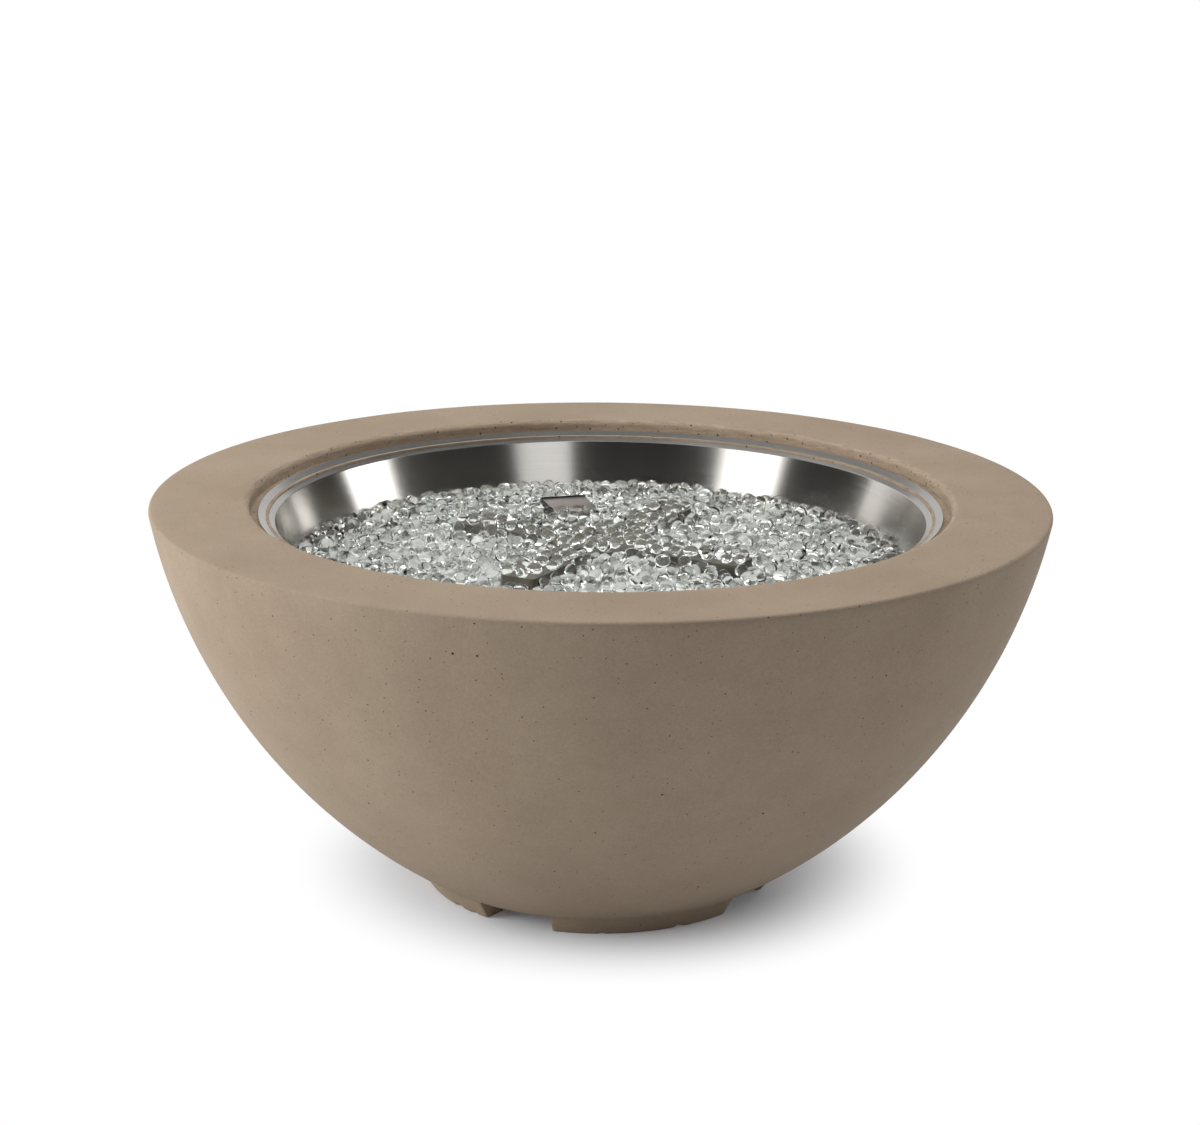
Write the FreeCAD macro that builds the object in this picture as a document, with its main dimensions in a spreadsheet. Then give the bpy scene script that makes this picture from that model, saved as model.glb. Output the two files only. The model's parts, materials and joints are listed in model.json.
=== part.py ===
# Gas fire bowl: a cast bowl on a notched foot ring, a drop-in steel pan of glass gems over a
# cross-shaped burner with a hooded pilot, and gas controls on a plate let into the bowl's back.
# Millimetres. +Z is up, the front is -Y, and the origin is on the ground under the centre.
import FreeCAD, Part
import Sketcher
import math
import operator
import os
from types import SimpleNamespace

Vector = FreeCAD.Vector

driving_sizes = {
    # Bowl: its side is one arc, from the top of the foot ring to the rim
    "bowl_height": 478,
    "rim_radius": 536.5,
    "rim_edge_round": 4,
    "side_radius": 676,
    "bowl_wall": 24,
    "mouth_radius": 426,
    "mouth_round": 7,
    "ledge_depth": 17,
    "ledge_radius": 396,
    "ledge_thickness": 25,
    "rim_underside_height": 395,
    "bottom_hole_radius": 75,
    # Foot ring and its notches, whose angles are from the front and back axis
    "foot_height": 25,
    "foot_outer_radius": 212,
    "foot_top_radius": 226.5,
    "foot_inner_radius": 182,
    "notch_near_angle": 30,
    "notch_far_angle": 53.3,
    # Drop-in pan
    "pan_sheet": 1.2,
    "flange_radius": 409.35,
    "flange_lip": 5,
    "flange_fall": 6,
    "pan_mouth_radius": 383.7,
    "pan_bottom_radius": 371.3,
    "pan_depth": 80,
    "pan_mouth_round": 7,
    "pan_corner_round": 10,
    "weep_hole_radius": 3,
    "weep_hole_circle": 300,
    # Glass bed
    "bed_gap": 0.5,
    "bed_edge_depth": 21.5,
    "glass_over_burner": 11,
    "bead_radius": 9,
    "bead_relief": 2.5,
    "bead_proud": 3.5,
    # Cross burner
    "standoff_length": 14,
    "burner_sheet": 1.5,
    "burner_depth": 22,
    "burner_arm_length": 195,
    "burner_arm_width": 46,
    "burner_hub_radius": 58,
    "burner_corner": 6,
    "port_radius": 1.5,
    "port_pitch": 15,
    "port_inset": 6,
    "standoff_circle": 150,
    "standoff_flats": 10,
    # Gas feed under the burner
    "nipple_radius": 10.6,
    "nipple_bore": 8,
    "nipple_length": 51.5,
    "nipple_locknut_flats": 32,
    "nipple_locknut_height": 8,
    "mixer_radius": 14,
    "mixer_socket": 16,
    "mixer_throat": 20,
    "mixer_chamber": 34,
    "mixer_end_wall": 10,
    "mixer_collar": 2,
    "mixer_window_inset": 6,
    "mixer_window_width": 10,
    "mixer_window_height": 18,
    "shutter_wall": 2,
    "shutter_running_gap": 0.08,
    "orifice_thread_radius": 5,
    "orifice_flats": 18,
    "orifice_hex_height": 6,
    "orifice_bore": 1.2,
    "flare_thread_radius": 7.94,
    "flare_thread_length": 18,
    "flare_cone_depth": 4,
    "flare_cone_step": 2,
    # Pilot under its hood
    "pilot_distance": 158,
    "hood_width": 58,
    "hood_depth": 46,
    "hood_height": 45,
    "hood_sheet": 1,
    "hood_front_drop": 19,
    "bracket_sheet": 1.5,
    "bracket_ear": 9,
    "pilot_pitch": 14,
    "pilot_burner_radius": 5,
    "electrode_radius": 2.8,
    "electrode_rod_radius": 0.9,
    "electrode_proud": 8,
    "thermocouple_radius": 2.4,
    "thermocouple_collar_radius": 3.4,
    "thermocouple_proud": 6,
    "thermocouple_tip_round": 1.9,
    "pilot_tail": 16,
    "pilot_plate_margin": 4,
    "pilot_screw_length": 5.5,
    # Control panel, let into the bowl on the plane that touches its side at this height
    "panel_level": 300,
    "panel_width": 160,
    "panel_height": 96,
    "panel_thickness": 2,
    "panel_corner": 6,
    "panel_gap": 1,
    "panel_recess": 8.5,
    "panel_window_width": 124,
    "panel_window_height": 64,
    "panel_screw_inset": 8,
    # Gas valve and knob
    "valve_offset": 32,
    "valve_width": 52,
    "valve_height": 34,
    "valve_depth": 47,
    "valve_flange_width": 60,
    "valve_flange": 3,
    "valve_port_pitch": 24,
    "valve_port_depth": 30,
    "valve_port_length": 10,
    "valve_port_radius": 6.44,
    "valve_nut_overlap": 8,
    "valve_screw_pitch": 28,
    "valve_screw_length": 10,
    "stem_radius": 4,
    "stem_hole_radius": 6,
    "stem_reach": 25.5,
    "stem_tail": 37.5,
    "stem_chamfer": 1,
    "plunger_radius": 7,
    "plunger_height": 3,
    "plunger_spring_length": 16,
    "plunger_spring_wire": 1.2,
    "knob_travel": 3,
    "knob_clearance": 0.5,
    "knob_radius": 22,
    "knob_height": 24,
    "knob_hub_radius": 7.5,
    "knob_rim": 3,
    "knob_hollow": 6,
    "knob_step": 2,
    "knob_draft": 1,
    "knob_top_round": 2,
    "knob_flute_offset": 1.5,
    "knob_flute_radius": 2.5,
    "set_screw_reach": 11.5,
    "bezel_radius": 30,
    "bezel_bore": 20,
    "bezel_thickness": 2.5,
    "bezel_edge_round": 1,
    # Igniter
    "igniter_offset": 38,
    "igniter_flange_radius": 17,
    "igniter_flange": 2.5,
    "igniter_barrel_radius": 12.5,
    "igniter_bore": 10.8,
    "igniter_length": 74,
    "igniter_end_wall": 2,
    "igniter_lip": 3,
    "button_radius": 9.3,
    "button_left_proud": 1,
    "button_foot": 3,
    "button_travel": 4,
    "button_edge_round": 1.2,
    "button_spring_length": 11,
    "button_spring_wire": 1,
    "battery_radius": 7.15,
    "battery_length": 50,
    "battery_cap_radius": 2.4,
    "battery_cap_height": 1.5,
    "battery_edge_round": 0.8,
    "terminal_offset": 4,
    "terminal_thickness": 2.4,
    "terminal_width": 6,
    "terminal_length": 7,
    "igniter_nut_flats": 30,
    "igniter_nut_height": 6,
    # Gas inlet in the bottom hole
    "inlet_bracket_length": 230,
    "inlet_bracket_width": 34,
    "inlet_bracket_thickness": 3,
    "inlet_pin_length": 16,
    "inlet_hex_height": 6,
    "inlet_hex_flats": 24,
    "inlet_thread_above": 24,
    "inlet_nut_flats": 22,
    "inlet_nut_height": 6,
    "elbow_radius": 10,
    "elbow_height": 22,
    "elbow_reach": 24,
    # Hoses, pipes and leads
    "hose_radius": 6,
    "hose_bore": 4,
    "hose_nut_flats": 22,
    "hose_nut_length": 18,
    "flare_overlap": 12,
    "valve_nut_flats": 17,
    "hose_straight": 34,
    "pilot_port_offset": 10,
    "thermocouple_port_offset": 12,
    "lead_straight": 30,
    "pilot_tube_radius": 2,
    "thermocouple_lead_radius": 1,
    "igniter_lead_radius": 1.5,
    # Small screws and their threaded anchors
    "screw_radius": 2.45,
    "screw_hole_radius": 2.75,
    "screw_head_radius": 4.75,
    "screw_head_height": 2.7,
    "screw_length": 12,
    "anchor_radius": 4,
    "anchor_length": 12,
    "thread_gap": 0.05,
    "small_screw_radius": 2,
    "small_screw_head_radius": 3.4,
    "small_screw_head_height": 2.2,
    # Room left between pieces that don't touch, and between pieces of different bodies
    "fit_gap": 0.3,
}

document = FreeCAD.newDocument("fire_bowl")
sheet = document.addObject("Spreadsheet::Sheet", "Sizes")
for row, (alias, number) in enumerate(driving_sizes.items(), start=1):
    sheet.set(f"A{row}", alias)
    sheet.set(f"B{row}", str(number))
    sheet.setAlias(f"B{row}", alias)
worked_out = document.addObject("Spreadsheet::Sheet", "Places")
document.recompute()


# Sizes that carry their expression

class Size:
    """A number, with the expression on the sheets' cells that gives it."""

    def __init__(self, number, text):
        self.number = float(number)
        self.text = text

    def __add__(self, other):
        return combined(self, "+", other)

    def __radd__(self, other):
        return combined(other, "+", self)

    def __sub__(self, other):
        return combined(self, "-", other)

    def __rsub__(self, other):
        return combined(other, "-", self)

    def __mul__(self, other):
        return combined(self, "*", other)

    def __rmul__(self, other):
        return combined(other, "*", self)

    def __truediv__(self, other):
        return combined(self, "/", other)

    def __rtruediv__(self, other):
        return combined(other, "/", self)

    def __neg__(self):
        return combined(0, "-", self)


signs = {"+": operator.add, "-": operator.sub, "*": operator.mul, "/": operator.truediv}


def as_size(value):
    """A plain number as a Size, or the Size itself."""
    return value if isinstance(value, Size) else Size(value, f"({float(value)})")


def combined(first, sign, second):
    first = as_size(first)
    second = as_size(second)
    number = signs[sign](first.number, second.number)
    return Size(number, f"({first.text} {sign} {second.text})")


def root(value):
    return Size(math.sqrt(value.number), f"sqrt({value.text})")


def cosine(angle):
    angle = as_size(angle)
    return Size(math.cos(math.radians(angle.number)), f"cos({angle.text})")


def sine(angle):
    angle = as_size(angle)
    return Size(math.sin(math.radians(angle.number)), f"sin({angle.text})")


kept_sizes = {}


def keep(alias, size):
    """Give a worked-out size a cell of its own, and return it under that name."""
    row = len(kept_sizes) + 1
    kept_sizes[alias] = size.number
    worked_out.set(f"A{row}", alias)
    worked_out.set(f"B{row}", f"={size.text}")
    worked_out.setAlias(f"B{row}", alias)
    return Size(size.number, f"Places.{alias}")


s = SimpleNamespace(**{alias: Size(sheet.get(alias), f"Sizes.{alias}") for alias in driving_sizes})


# Levels and places shared by several pieces

ledge_level = keep("ledge_level", s.bowl_height - s.ledge_depth)
cavity_floor = keep("cavity_floor", s.foot_height + s.bowl_wall)
flange_top = keep("flange_top", ledge_level + s.flange_lip)
pan_floor = keep("pan_floor", flange_top - s.pan_depth)
pan_underside = keep("pan_underside", pan_floor - s.pan_sheet)
burner_bottom = keep("burner_bottom", pan_floor + s.standoff_length)
burner_top = keep("burner_top", burner_bottom + s.burner_depth)
hood_top = keep("hood_top", pan_floor + s.hood_height)
nipple_bottom = keep("nipple_bottom", burner_bottom + s.burner_sheet - s.nipple_length)
mixer_top = keep("mixer_top", nipple_bottom + s.mixer_socket)
chamber_top = keep("chamber_top", nipple_bottom - s.mixer_throat)
chamber_bottom = keep("chamber_bottom", chamber_top - s.mixer_chamber)
mixer_bottom = keep("mixer_bottom", chamber_bottom - s.mixer_end_wall)
orifice_shoulder = keep("orifice_shoulder", mixer_bottom - s.orifice_hex_height)
orifice_bottom = keep("orifice_bottom", orifice_shoulder - s.flare_thread_length)
mixer_nut_top = keep("mixer_nut_top", orifice_bottom + s.flare_overlap)
mixer_nut_bottom = keep("mixer_nut_bottom", mixer_nut_top - s.hose_nut_length)

# The centre of the bowl's side arc, from its two ends and its radius
side_rise = keep("side_rise", s.bowl_height - s.rim_edge_round - s.foot_height)
side_run = keep("side_run", s.rim_radius - s.foot_top_radius)
side_chord = keep("side_chord", root(side_rise * side_rise + side_run * side_run))
side_offset = keep("side_offset", root(s.side_radius * s.side_radius - side_chord * side_chord / 4))
side_centre_radius = keep(
    "side_centre_radius",
    s.foot_top_radius + side_run / 2 - side_offset * side_rise / side_chord,
)
side_centre_height = keep(
    "side_centre_height",
    s.foot_height + side_rise / 2 + side_offset * side_run / side_chord,
)


def side_at(level, inset=0):
    """Radius of the bowl's side, or of the surface a given inset inside it, at a level."""
    reach = s.side_radius - inset
    drop = side_centre_height - level
    return side_centre_radius + root(reach * reach - drop * drop)


# The control panel's own frame: x to the right as seen from outside, y up the bowl's side,
# z straight out of it, from the point where the plane touches the side
panel_reach = keep("panel_reach", side_at(s.panel_level))
panel_sine = keep("panel_sine", (side_centre_height - s.panel_level) / s.side_radius)
panel_cosine = keep("panel_cosine", (panel_reach - side_centre_radius) / s.side_radius)
panel_axis_y = keep("panel_axis_y", root((1 + panel_sine) / 2))
panel_axis_z = keep("panel_axis_z", root((1 - panel_sine) / 2))
panel_face = keep("panel_face", -s.panel_recess)
panel_back = keep("panel_back", panel_face - s.panel_thickness)
valve_back = keep("valve_back", panel_back - s.valve_depth)
valve_ports_level = keep("valve_ports_level", panel_back - s.valve_port_depth)
valve_port_end = keep("valve_port_end", -(s.valve_height / 2) - s.valve_port_length)
bezel_face = keep("bezel_face", panel_face + s.bezel_thickness)
knob_bottom = keep("knob_bottom", bezel_face + s.knob_travel + s.knob_clearance)
igniter_face = keep("igniter_face", panel_face + s.igniter_flange)
igniter_back = keep("igniter_back", panel_face - s.igniter_length)
battery_bottom = keep("battery_bottom", igniter_back + s.igniter_end_wall)


def at(x, y, z, axis=(0, 0, 1), angle=0):
    """A placement, as the expression that a Placement property is bound to."""
    x, y, z = as_size(x), as_size(y), as_size(z)
    turn = f"rotation(vector({axis[0]}; {axis[1]}; {axis[2]}); {angle})"
    return f"placement(vector({x.text}; {y.text}; {z.text}); {turn})"


def panel_point(x, y, z):
    """A point of the control panel's frame, in the bowl's."""
    x, y, z = as_size(x), as_size(y), as_size(z)
    return (
        -x,
        panel_reach + y * panel_sine + z * panel_cosine,
        s.panel_level + y * panel_cosine - z * panel_sine,
    )


def on_panel(x=0, y=0, z=0):
    """The placement of a piece built in the control panel's frame, shifted by x, y and z."""
    point = panel_point(x, y, z)
    corner = f"vector({point[0].text}; {point[1].text}; {point[2].text})"
    turn = f"rotation(vector(0; {panel_axis_y.text}; {panel_axis_z.text}); 180)"
    return f"placement({corner}; {turn})"


def on_panel_downwards(x, y, z):
    """As on_panel, with the piece's own +Z turned to point down the panel."""
    point = panel_point(x, y, z)
    corner = f"vector({point[0].text}; {point[1].text}; {point[2].text})"
    turn = f"rotation(vector(0; {panel_axis_y.text}; {panel_axis_z.text}); 180)"
    return f"placement({corner}; {turn} * rotation(vector(1; 0; 0); 90))"


# Outlines: lists of corners, anticlockwise, where a corner may be rounded by a radius,
# or may start an arc to the next corner, positive when that arc bulges outwards

def rounded(x, y, radius):
    return (x, y, "round", radius)


def arc_from(x, y, radius):
    return (x, y, "arc", radius)


def rectangle(width, depth, x=0, y=0, corner=None):
    corners = [(-1, -1), (1, -1), (1, 1), (-1, 1)]
    points = [(x + width * (i / 2), y + depth * (j / 2)) for i, j in corners]
    if corner is None:
        return points
    return [rounded(*point, corner) for point in points]


def box_outline(low_x, high_x, low_y, high_y):
    return [(low_x, low_y), (high_x, low_y), (high_x, high_y), (low_x, high_y)]


def hexagon(flats):
    reach = flats / math.sqrt(3)
    return [(reach * cosine(60 * k), reach * sine(60 * k)) for k in range(6)]


def wedge(inner, outer, first_angle, last_angle):
    """A four-sided outline between two directions, seen from the centre."""
    ends = [(inner, first_angle), (outer, first_angle), (outer, last_angle), (inner, last_angle)]
    return [(reach * cosine(angle), reach * sine(angle)) for reach, angle in ends]


def cross_outline(growth):
    """The burner's plan, grown outwards by an amount: a round hub with four diagonal arms."""
    half = s.burner_arm_width / 2 + growth
    tip = s.burner_arm_length + growth
    hub = s.burner_hub_radius + growth
    start = root(hub * hub - half * half)
    points = []
    for angle in (45, 135, 225, 315):
        for along, across in ((start, -half), (tip, -half), (tip, half), (start, half)):
            x = along * cosine(angle) - across * sine(angle)
            y = along * sine(angle) + across * cosine(angle)
            points.append((x, y))
        points[-3] = rounded(*points[-3], s.burner_corner + growth)
        points[-2] = rounded(*points[-2], s.burner_corner + growth)
        points[-1] = arc_from(*points[-1], hub)
    return points


def flat(point):
    return Vector(as_size(point[0]).number, as_size(point[1]).number, 0)


def short_arc(start, end, centre, anticlockwise):
    """An arc edge, and which of its end numbers are its start and its end on the way round."""
    first = math.atan2(start.y - centre.y, start.x - centre.x)
    last = math.atan2(end.y - centre.y, end.x - centre.x)
    circle = Part.Circle(centre, Vector(0, 0, 1), (start - centre).Length)
    if anticlockwise:
        return Part.ArcOfCircle(circle, first, last), (1, 2)
    return Part.ArcOfCircle(circle, last, first), (2, 1)


def corner_arc(before, corner, after, radius):
    """The arc that rounds a corner: where it starts and ends, its edge and its end numbers."""
    way_in = (corner - before).normalize()
    way_out = (after - corner).normalize()
    turn = way_in.getAngle(way_out)
    back = radius * math.tan(turn / 2)
    left = way_in.x * way_out.y - way_in.y * way_out.x > 0
    start = corner - way_in * back
    end = corner + way_out * back
    side = Vector(-way_in.y, way_in.x, 0) * (radius if left else -radius)
    edge, ends = short_arc(start, end, start + side, left)
    return start, end, edge, ends


def long_arc(start, end, radius):
    """The arc from one corner to the next, with the radius's sign as its way of bulging."""
    half_chord = (end - start) * 0.5
    reach = math.sqrt(radius * radius - half_chord.Length ** 2)
    side = Vector(-half_chord.y, half_chord.x, 0).normalize()
    centre = start + half_chord + side * (reach if radius > 0 else -reach)
    return short_arc(start, end, centre, radius > 0)


def bind(sketch, constraint, size):
    """Add a dimension to a sketch and tie it to its expression."""
    index = sketch.addConstraint(constraint)
    sketch.setExpression(f"Constraints[{index}]", size.text)


def pin_point(sketch, geometry, end, point):
    x, y = as_size(point[0]), as_size(point[1])
    bind(sketch, Sketcher.Constraint("DistanceX", -1, 1, geometry, end, x.number), x)
    bind(sketch, Sketcher.Constraint("DistanceY", -1, 1, geometry, end, y.number), y)


def draw_outline(sketch, points):
    """Draw a closed outline with every corner, rounding and arc tied to the sheet."""
    count = len(points)
    spots = [flat(point) for point in points]
    kinds = [point[2] if len(point) > 2 else "sharp" for point in points]
    starts = list(spots)
    ends = list(spots)
    corners = {}
    for i in range(count):
        if kinds[i] == "round":
            before, after = spots[i - 1], spots[(i + 1) % count]
            made = corner_arc(before, spots[i], after, as_size(points[i][3]).number)
            ends[i], starts[i], corners[i] = made[0], made[1], made[2:]
    runs = []
    for i in range(count):
        start, end = starts[i], ends[(i + 1) % count]
        if kinds[i] == "arc":
            edge, numbers = long_arc(start, end, as_size(points[i][3]).number)
        else:
            edge, numbers = Part.LineSegment(start, end), (1, 2)
        runs.append((sketch.addGeometry(edge, False), numbers))
        if kinds[i] == "arc":
            size = as_size(points[i][3])
            size = size if size.number > 0 else -size
            bind(sketch, Sketcher.Constraint("Radius", runs[-1][0], size.number), size)
    for i in range(count):
        last, (_, last_end) = runs[i - 1]
        this, (this_start, _) = runs[i]
        if kinds[i] != "round":
            sketch.addConstraint(Sketcher.Constraint("Coincident", last, last_end, this, this_start))
            pin_point(sketch, this, this_start, points[i])
            continue
        edge, (arc_start, arc_end) = corners[i]
        radius = as_size(points[i][3])
        arc = sketch.addGeometry(edge, False)
        spot = sketch.addGeometry(Part.Point(spots[i]), True)
        sketch.addConstraint([
            Sketcher.Constraint("Tangent", last, last_end, arc, arc_start),
            Sketcher.Constraint("Tangent", arc, arc_end, this, this_start),
            Sketcher.Constraint("PointOnObject", spot, 1, last),
            Sketcher.Constraint("PointOnObject", spot, 1, this),
        ])
        bind(sketch, Sketcher.Constraint("Radius", arc, radius.number), radius)
        pin_point(sketch, spot, 1, points[i])


def draw_circle(sketch, x, y, radius):
    radius = as_size(radius)
    circle = Part.Circle(flat((x, y)), Vector(0, 0, 1), radius.number)
    index = sketch.addGeometry(circle, False)
    bind(sketch, Sketcher.Constraint("Radius", index, radius.number), radius)
    pin_point(sketch, index, 3, (x, y))


# Pieces

class Piece:
    """One body, built up in its own frame from turned, padded and cut features."""

    def __init__(self, label, place=None):
        self.body = document.addObject("PartDesign::Body", "Body")
        self.body.Label = label
        if place is not None:
            self.body.setExpression("Placement", place)

    def sketch(self, role, outlines, circles, offset=None):
        plane = next(item for item in self.body.Origin.OriginFeatures if item.Role == role)
        sketch = self.body.newObject("Sketcher::SketchObject", "Outline")
        sketch.AttachmentSupport = (plane, [""])
        sketch.MapMode = "FlatFace"
        if offset is not None:
            sketch.setExpression("AttachmentOffset", offset)
        for points in outlines:
            draw_outline(sketch, points)
        for circle in circles:
            draw_circle(sketch, *circle)
        return sketch

    def turn(self, points):
        """Turn a profile of (radius, height) corners about the body's Z axis."""
        profile = self.sketch("XZ_Plane", [points], [])
        feature = self.body.newObject("PartDesign::Revolution", "Turned")
        feature.Profile = profile
        feature.ReferenceAxis = (profile, ["V_Axis"])
        feature.Angle = 360
        return self

    def pad(self, outlines, low, high, circles=()):
        """Raise outlines, and circles as their holes, from one level to another."""
        profile = self.sketch("XY_Plane", outlines, circles, at(0, 0, low))
        feature = self.body.newObject("PartDesign::Pad", "Padded")
        feature.Profile = profile
        feature.setExpression("Length", (as_size(high) - low).text)
        return self

    def cut(self, outlines, low, high, circles=()):
        """Cut outlines and circles out, from the high level down to the low one."""
        return self.cut_from(outlines, circles, at(0, 0, high), as_size(high) - low)

    def cut_from(self, outlines, circles, place, depth):
        """Cut outlines and circles down from a plane anywhere in the body."""
        document.recompute()
        volume = self.body.Shape.Volume
        profile = self.sketch("XY_Plane", outlines, circles, place)
        feature = self.body.newObject("PartDesign::Pocket", "Cut")
        feature.Profile = profile
        feature.setExpression("Length", depth.text)
        document.recompute()
        if not self.body.Shape.Volume < volume:
            raise RuntimeError(f"{self.body.Label}: a cut takes nothing away")
        return self

    def ball(self, x, y, level, radius):
        """Add a ball about a point."""
        plane = next(item for item in self.body.Origin.OriginFeatures if item.Role == "XY_Plane")
        feature = self.body.newObject("PartDesign::AdditiveSphere", "Ball")
        feature.AttachmentSupport = (plane, [""])
        feature.MapMode = "FlatFace"
        feature.setExpression("AttachmentOffset", at(x, y, level))
        feature.setExpression("Radius", radius.text)
        return self

    def spin(self, count):
        """Repeat the last feature evenly about the body's Z axis."""
        feature = self.body.Tip
        axis = next(item for item in self.body.Origin.OriginFeatures if item.Role == "Z_Axis")
        pattern = self.body.newObject("PartDesign::PolarPattern", "Repeated")
        pattern.Originals = [feature]
        pattern.Axis = (axis, [""])
        pattern.Angle = 360
        pattern.Occurrences = count
        self.body.Tip = pattern
        return self


sub_parts = []


def single(piece):
    sub_parts.append(piece.body)


def group(label, pieces):
    """Several like pieces, as one sub-part of separate solids."""
    compound = document.addObject("Part::Compound", "Group")
    compound.Label = label
    compound.Links = [piece.body for piece in pieces]
    sub_parts.append(compound)


def cylinder_piece(label, place, radius, low, high, bore=None):
    circles = [(0, 0, radius)]
    if bore is not None:
        circles.append((0, 0, bore))
    return Piece(label, place).pad([], low, high, circles)


def hex_nut(label, place, flats, bore, low, high):
    return Piece(label, place).pad([hexagon(flats)], low, high, [(0, 0, bore)])


def screw(label, place, radius, head_radius, head_height, length):
    """A round-headed screw, with its head standing on its own origin and its shank below."""
    profile = [
        (0, -length),
        (radius, -length),
        (radius, 0),
        (head_radius, 0),
        rounded(head_radius, head_height, head_height / 2),
        (0, head_height),
    ]
    return Piece(label, place).turn(profile)


def standard_screw(label, place, length):
    return screw(label, place, s.screw_radius, s.screw_head_radius, s.screw_head_height, length)


def small_screw(label, place, length):
    radii = (s.small_screw_radius, s.small_screw_head_radius)
    return screw(label, place, *radii, s.small_screw_head_height, length)


def anchor(label, place):
    """A threaded sleeve, with its mouth on its own origin and its body below."""
    bore = s.screw_radius + s.thread_gap
    return cylinder_piece(label, place, s.anchor_radius, -s.anchor_length, 0, bore)


# Hoses, pipes and leads

def numbers(points):
    return [Vector(*(as_size(value).number for value in point)) for point in points]


def tube(label, route, radius, bore=None):
    """A round tube along straight runs joined by the largest arcs that they leave room for."""
    route = numbers(route)
    edges = []
    radii = []
    start = route[0]
    for before, corner, after in zip(route, route[1:], route[2:]):
        way_in = corner - before
        way_out = after - corner
        shorter = min(way_in.Length, way_out.Length)
        turn = way_in.getAngle(way_out)
        way_in.normalize()
        way_out.normalize()
        reach = 0.45 * shorter
        bend = reach / math.tan(turn / 2)
        arc_start = corner - way_in * reach
        arc_end = corner + way_out * reach
        middle = (way_out - way_in).normalize()
        arc_middle = corner + middle * (bend / math.cos(turn / 2) - bend)
        edges.append(Part.LineSegment(start, arc_start).toShape())
        edges.append(Part.Arc(arc_start, arc_middle, arc_end).toShape())
        start = arc_end
        radii.append(bend)
    edges.append(Part.LineSegment(start, route[-1]).toShape())
    path = Part.Wire(edges)
    shape = swept(path, radius)
    section = math.pi * radius.number ** 2
    if bore is not None:
        shape = shape.cut(swept(path, bore))
        section -= math.pi * bore.number ** 2
    if abs(shape.Volume / (section * path.Length) - 1) > 0.01:
        raise RuntimeError(f"{label}: its volume isn't its section times its length")
    bends = ", ".join(f"{bend:.0f}" for bend in radii)
    print(f"{label}: {path.Length:.0f} mm long, bends of {bends} mm")
    feature = document.addObject("Part::Feature", "Tube")
    feature.Shape = shape
    feature.Placement = FreeCAD.Placement()
    feature.Label = label
    sub_parts.append(feature)


def swept(path, radius):
    first = path.Edges[0]
    along = first.tangentAt(first.FirstParameter)
    begin = first.valueAt(first.FirstParameter)
    ring = Part.Wire([Part.Circle(begin, along, radius.number).toShape()])
    return path.makePipeShell([ring], True, True)


# Bowl

def make_bowl():
    inner_side = s.side_radius - s.bowl_wall
    profile = [
        (s.foot_inner_radius, 0),
        (s.foot_outer_radius, 0),
        arc_from(s.foot_top_radius, s.foot_height, s.side_radius),
        arc_from(s.rim_radius, s.bowl_height - s.rim_edge_round, s.rim_edge_round),
        (s.rim_radius - s.rim_edge_round, s.bowl_height),
        arc_from(s.mouth_radius, s.bowl_height, s.mouth_round),
        (s.mouth_radius - s.mouth_round, s.bowl_height - s.mouth_round),
        (s.mouth_radius - s.mouth_round, ledge_level),
        (s.ledge_radius, ledge_level),
        (s.ledge_radius, ledge_level - s.ledge_thickness),
        arc_from(side_at(s.rim_underside_height, s.bowl_wall), s.rim_underside_height, -inner_side),
        (side_at(cavity_floor, s.bowl_wall), cavity_floor),
        (s.bottom_hole_radius, cavity_floor),
        (s.bottom_hole_radius, s.foot_height),
        (s.foot_inner_radius, s.foot_height),
    ]
    bowl = Piece("fire_bowl").turn(profile)
    inner = s.foot_inner_radius * 0.9
    outer = s.foot_top_radius * 1.1
    near, far = s.notch_near_angle, s.notch_far_angle
    notches = [
        wedge(inner, outer, -90 - far, -90 - near),
        wedge(inner, outer, -90 + near, -90 + far),
        wedge(inner, outer, 90 - far, 90 - near),
        wedge(inner, outer, 90 + near, 90 + far),
    ]
    bowl.cut(notches, 0, s.foot_height)
    pocket = rectangle(
        s.panel_width + 2 * s.panel_gap,
        s.panel_height + 2 * s.panel_gap,
        corner=s.panel_corner + s.panel_gap,
    )
    bowl.cut_from([pocket], [], on_panel(), -panel_back)
    window = rectangle(s.panel_window_width, s.panel_window_height, corner=s.panel_corner)
    bowl.cut_from([window], [], on_panel(), s.bowl_wall * 2)
    holes = [(x, y, s.anchor_radius) for x, y in panel_screw_places()]
    bowl.cut_from([], holes, on_panel(z=panel_back), s.anchor_length)
    holes = [(x, 0, s.anchor_radius) for x in bracket_screw_places()]
    bowl.cut([], cavity_floor - s.anchor_length, cavity_floor, holes)
    single(bowl)


def panel_screw_places():
    x = s.panel_width / 2 - s.panel_screw_inset
    y = s.panel_height / 2 - s.panel_screw_inset
    return [(-x, -y), (x, -y), (x, y), (-x, y)]


def bracket_screw_places():
    x = s.inlet_bracket_length / 2 - s.inlet_bracket_width / 2
    return [-x, x]


# Pan and its glass

def nipple_hole():
    return s.nipple_radius + s.fit_gap


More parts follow.
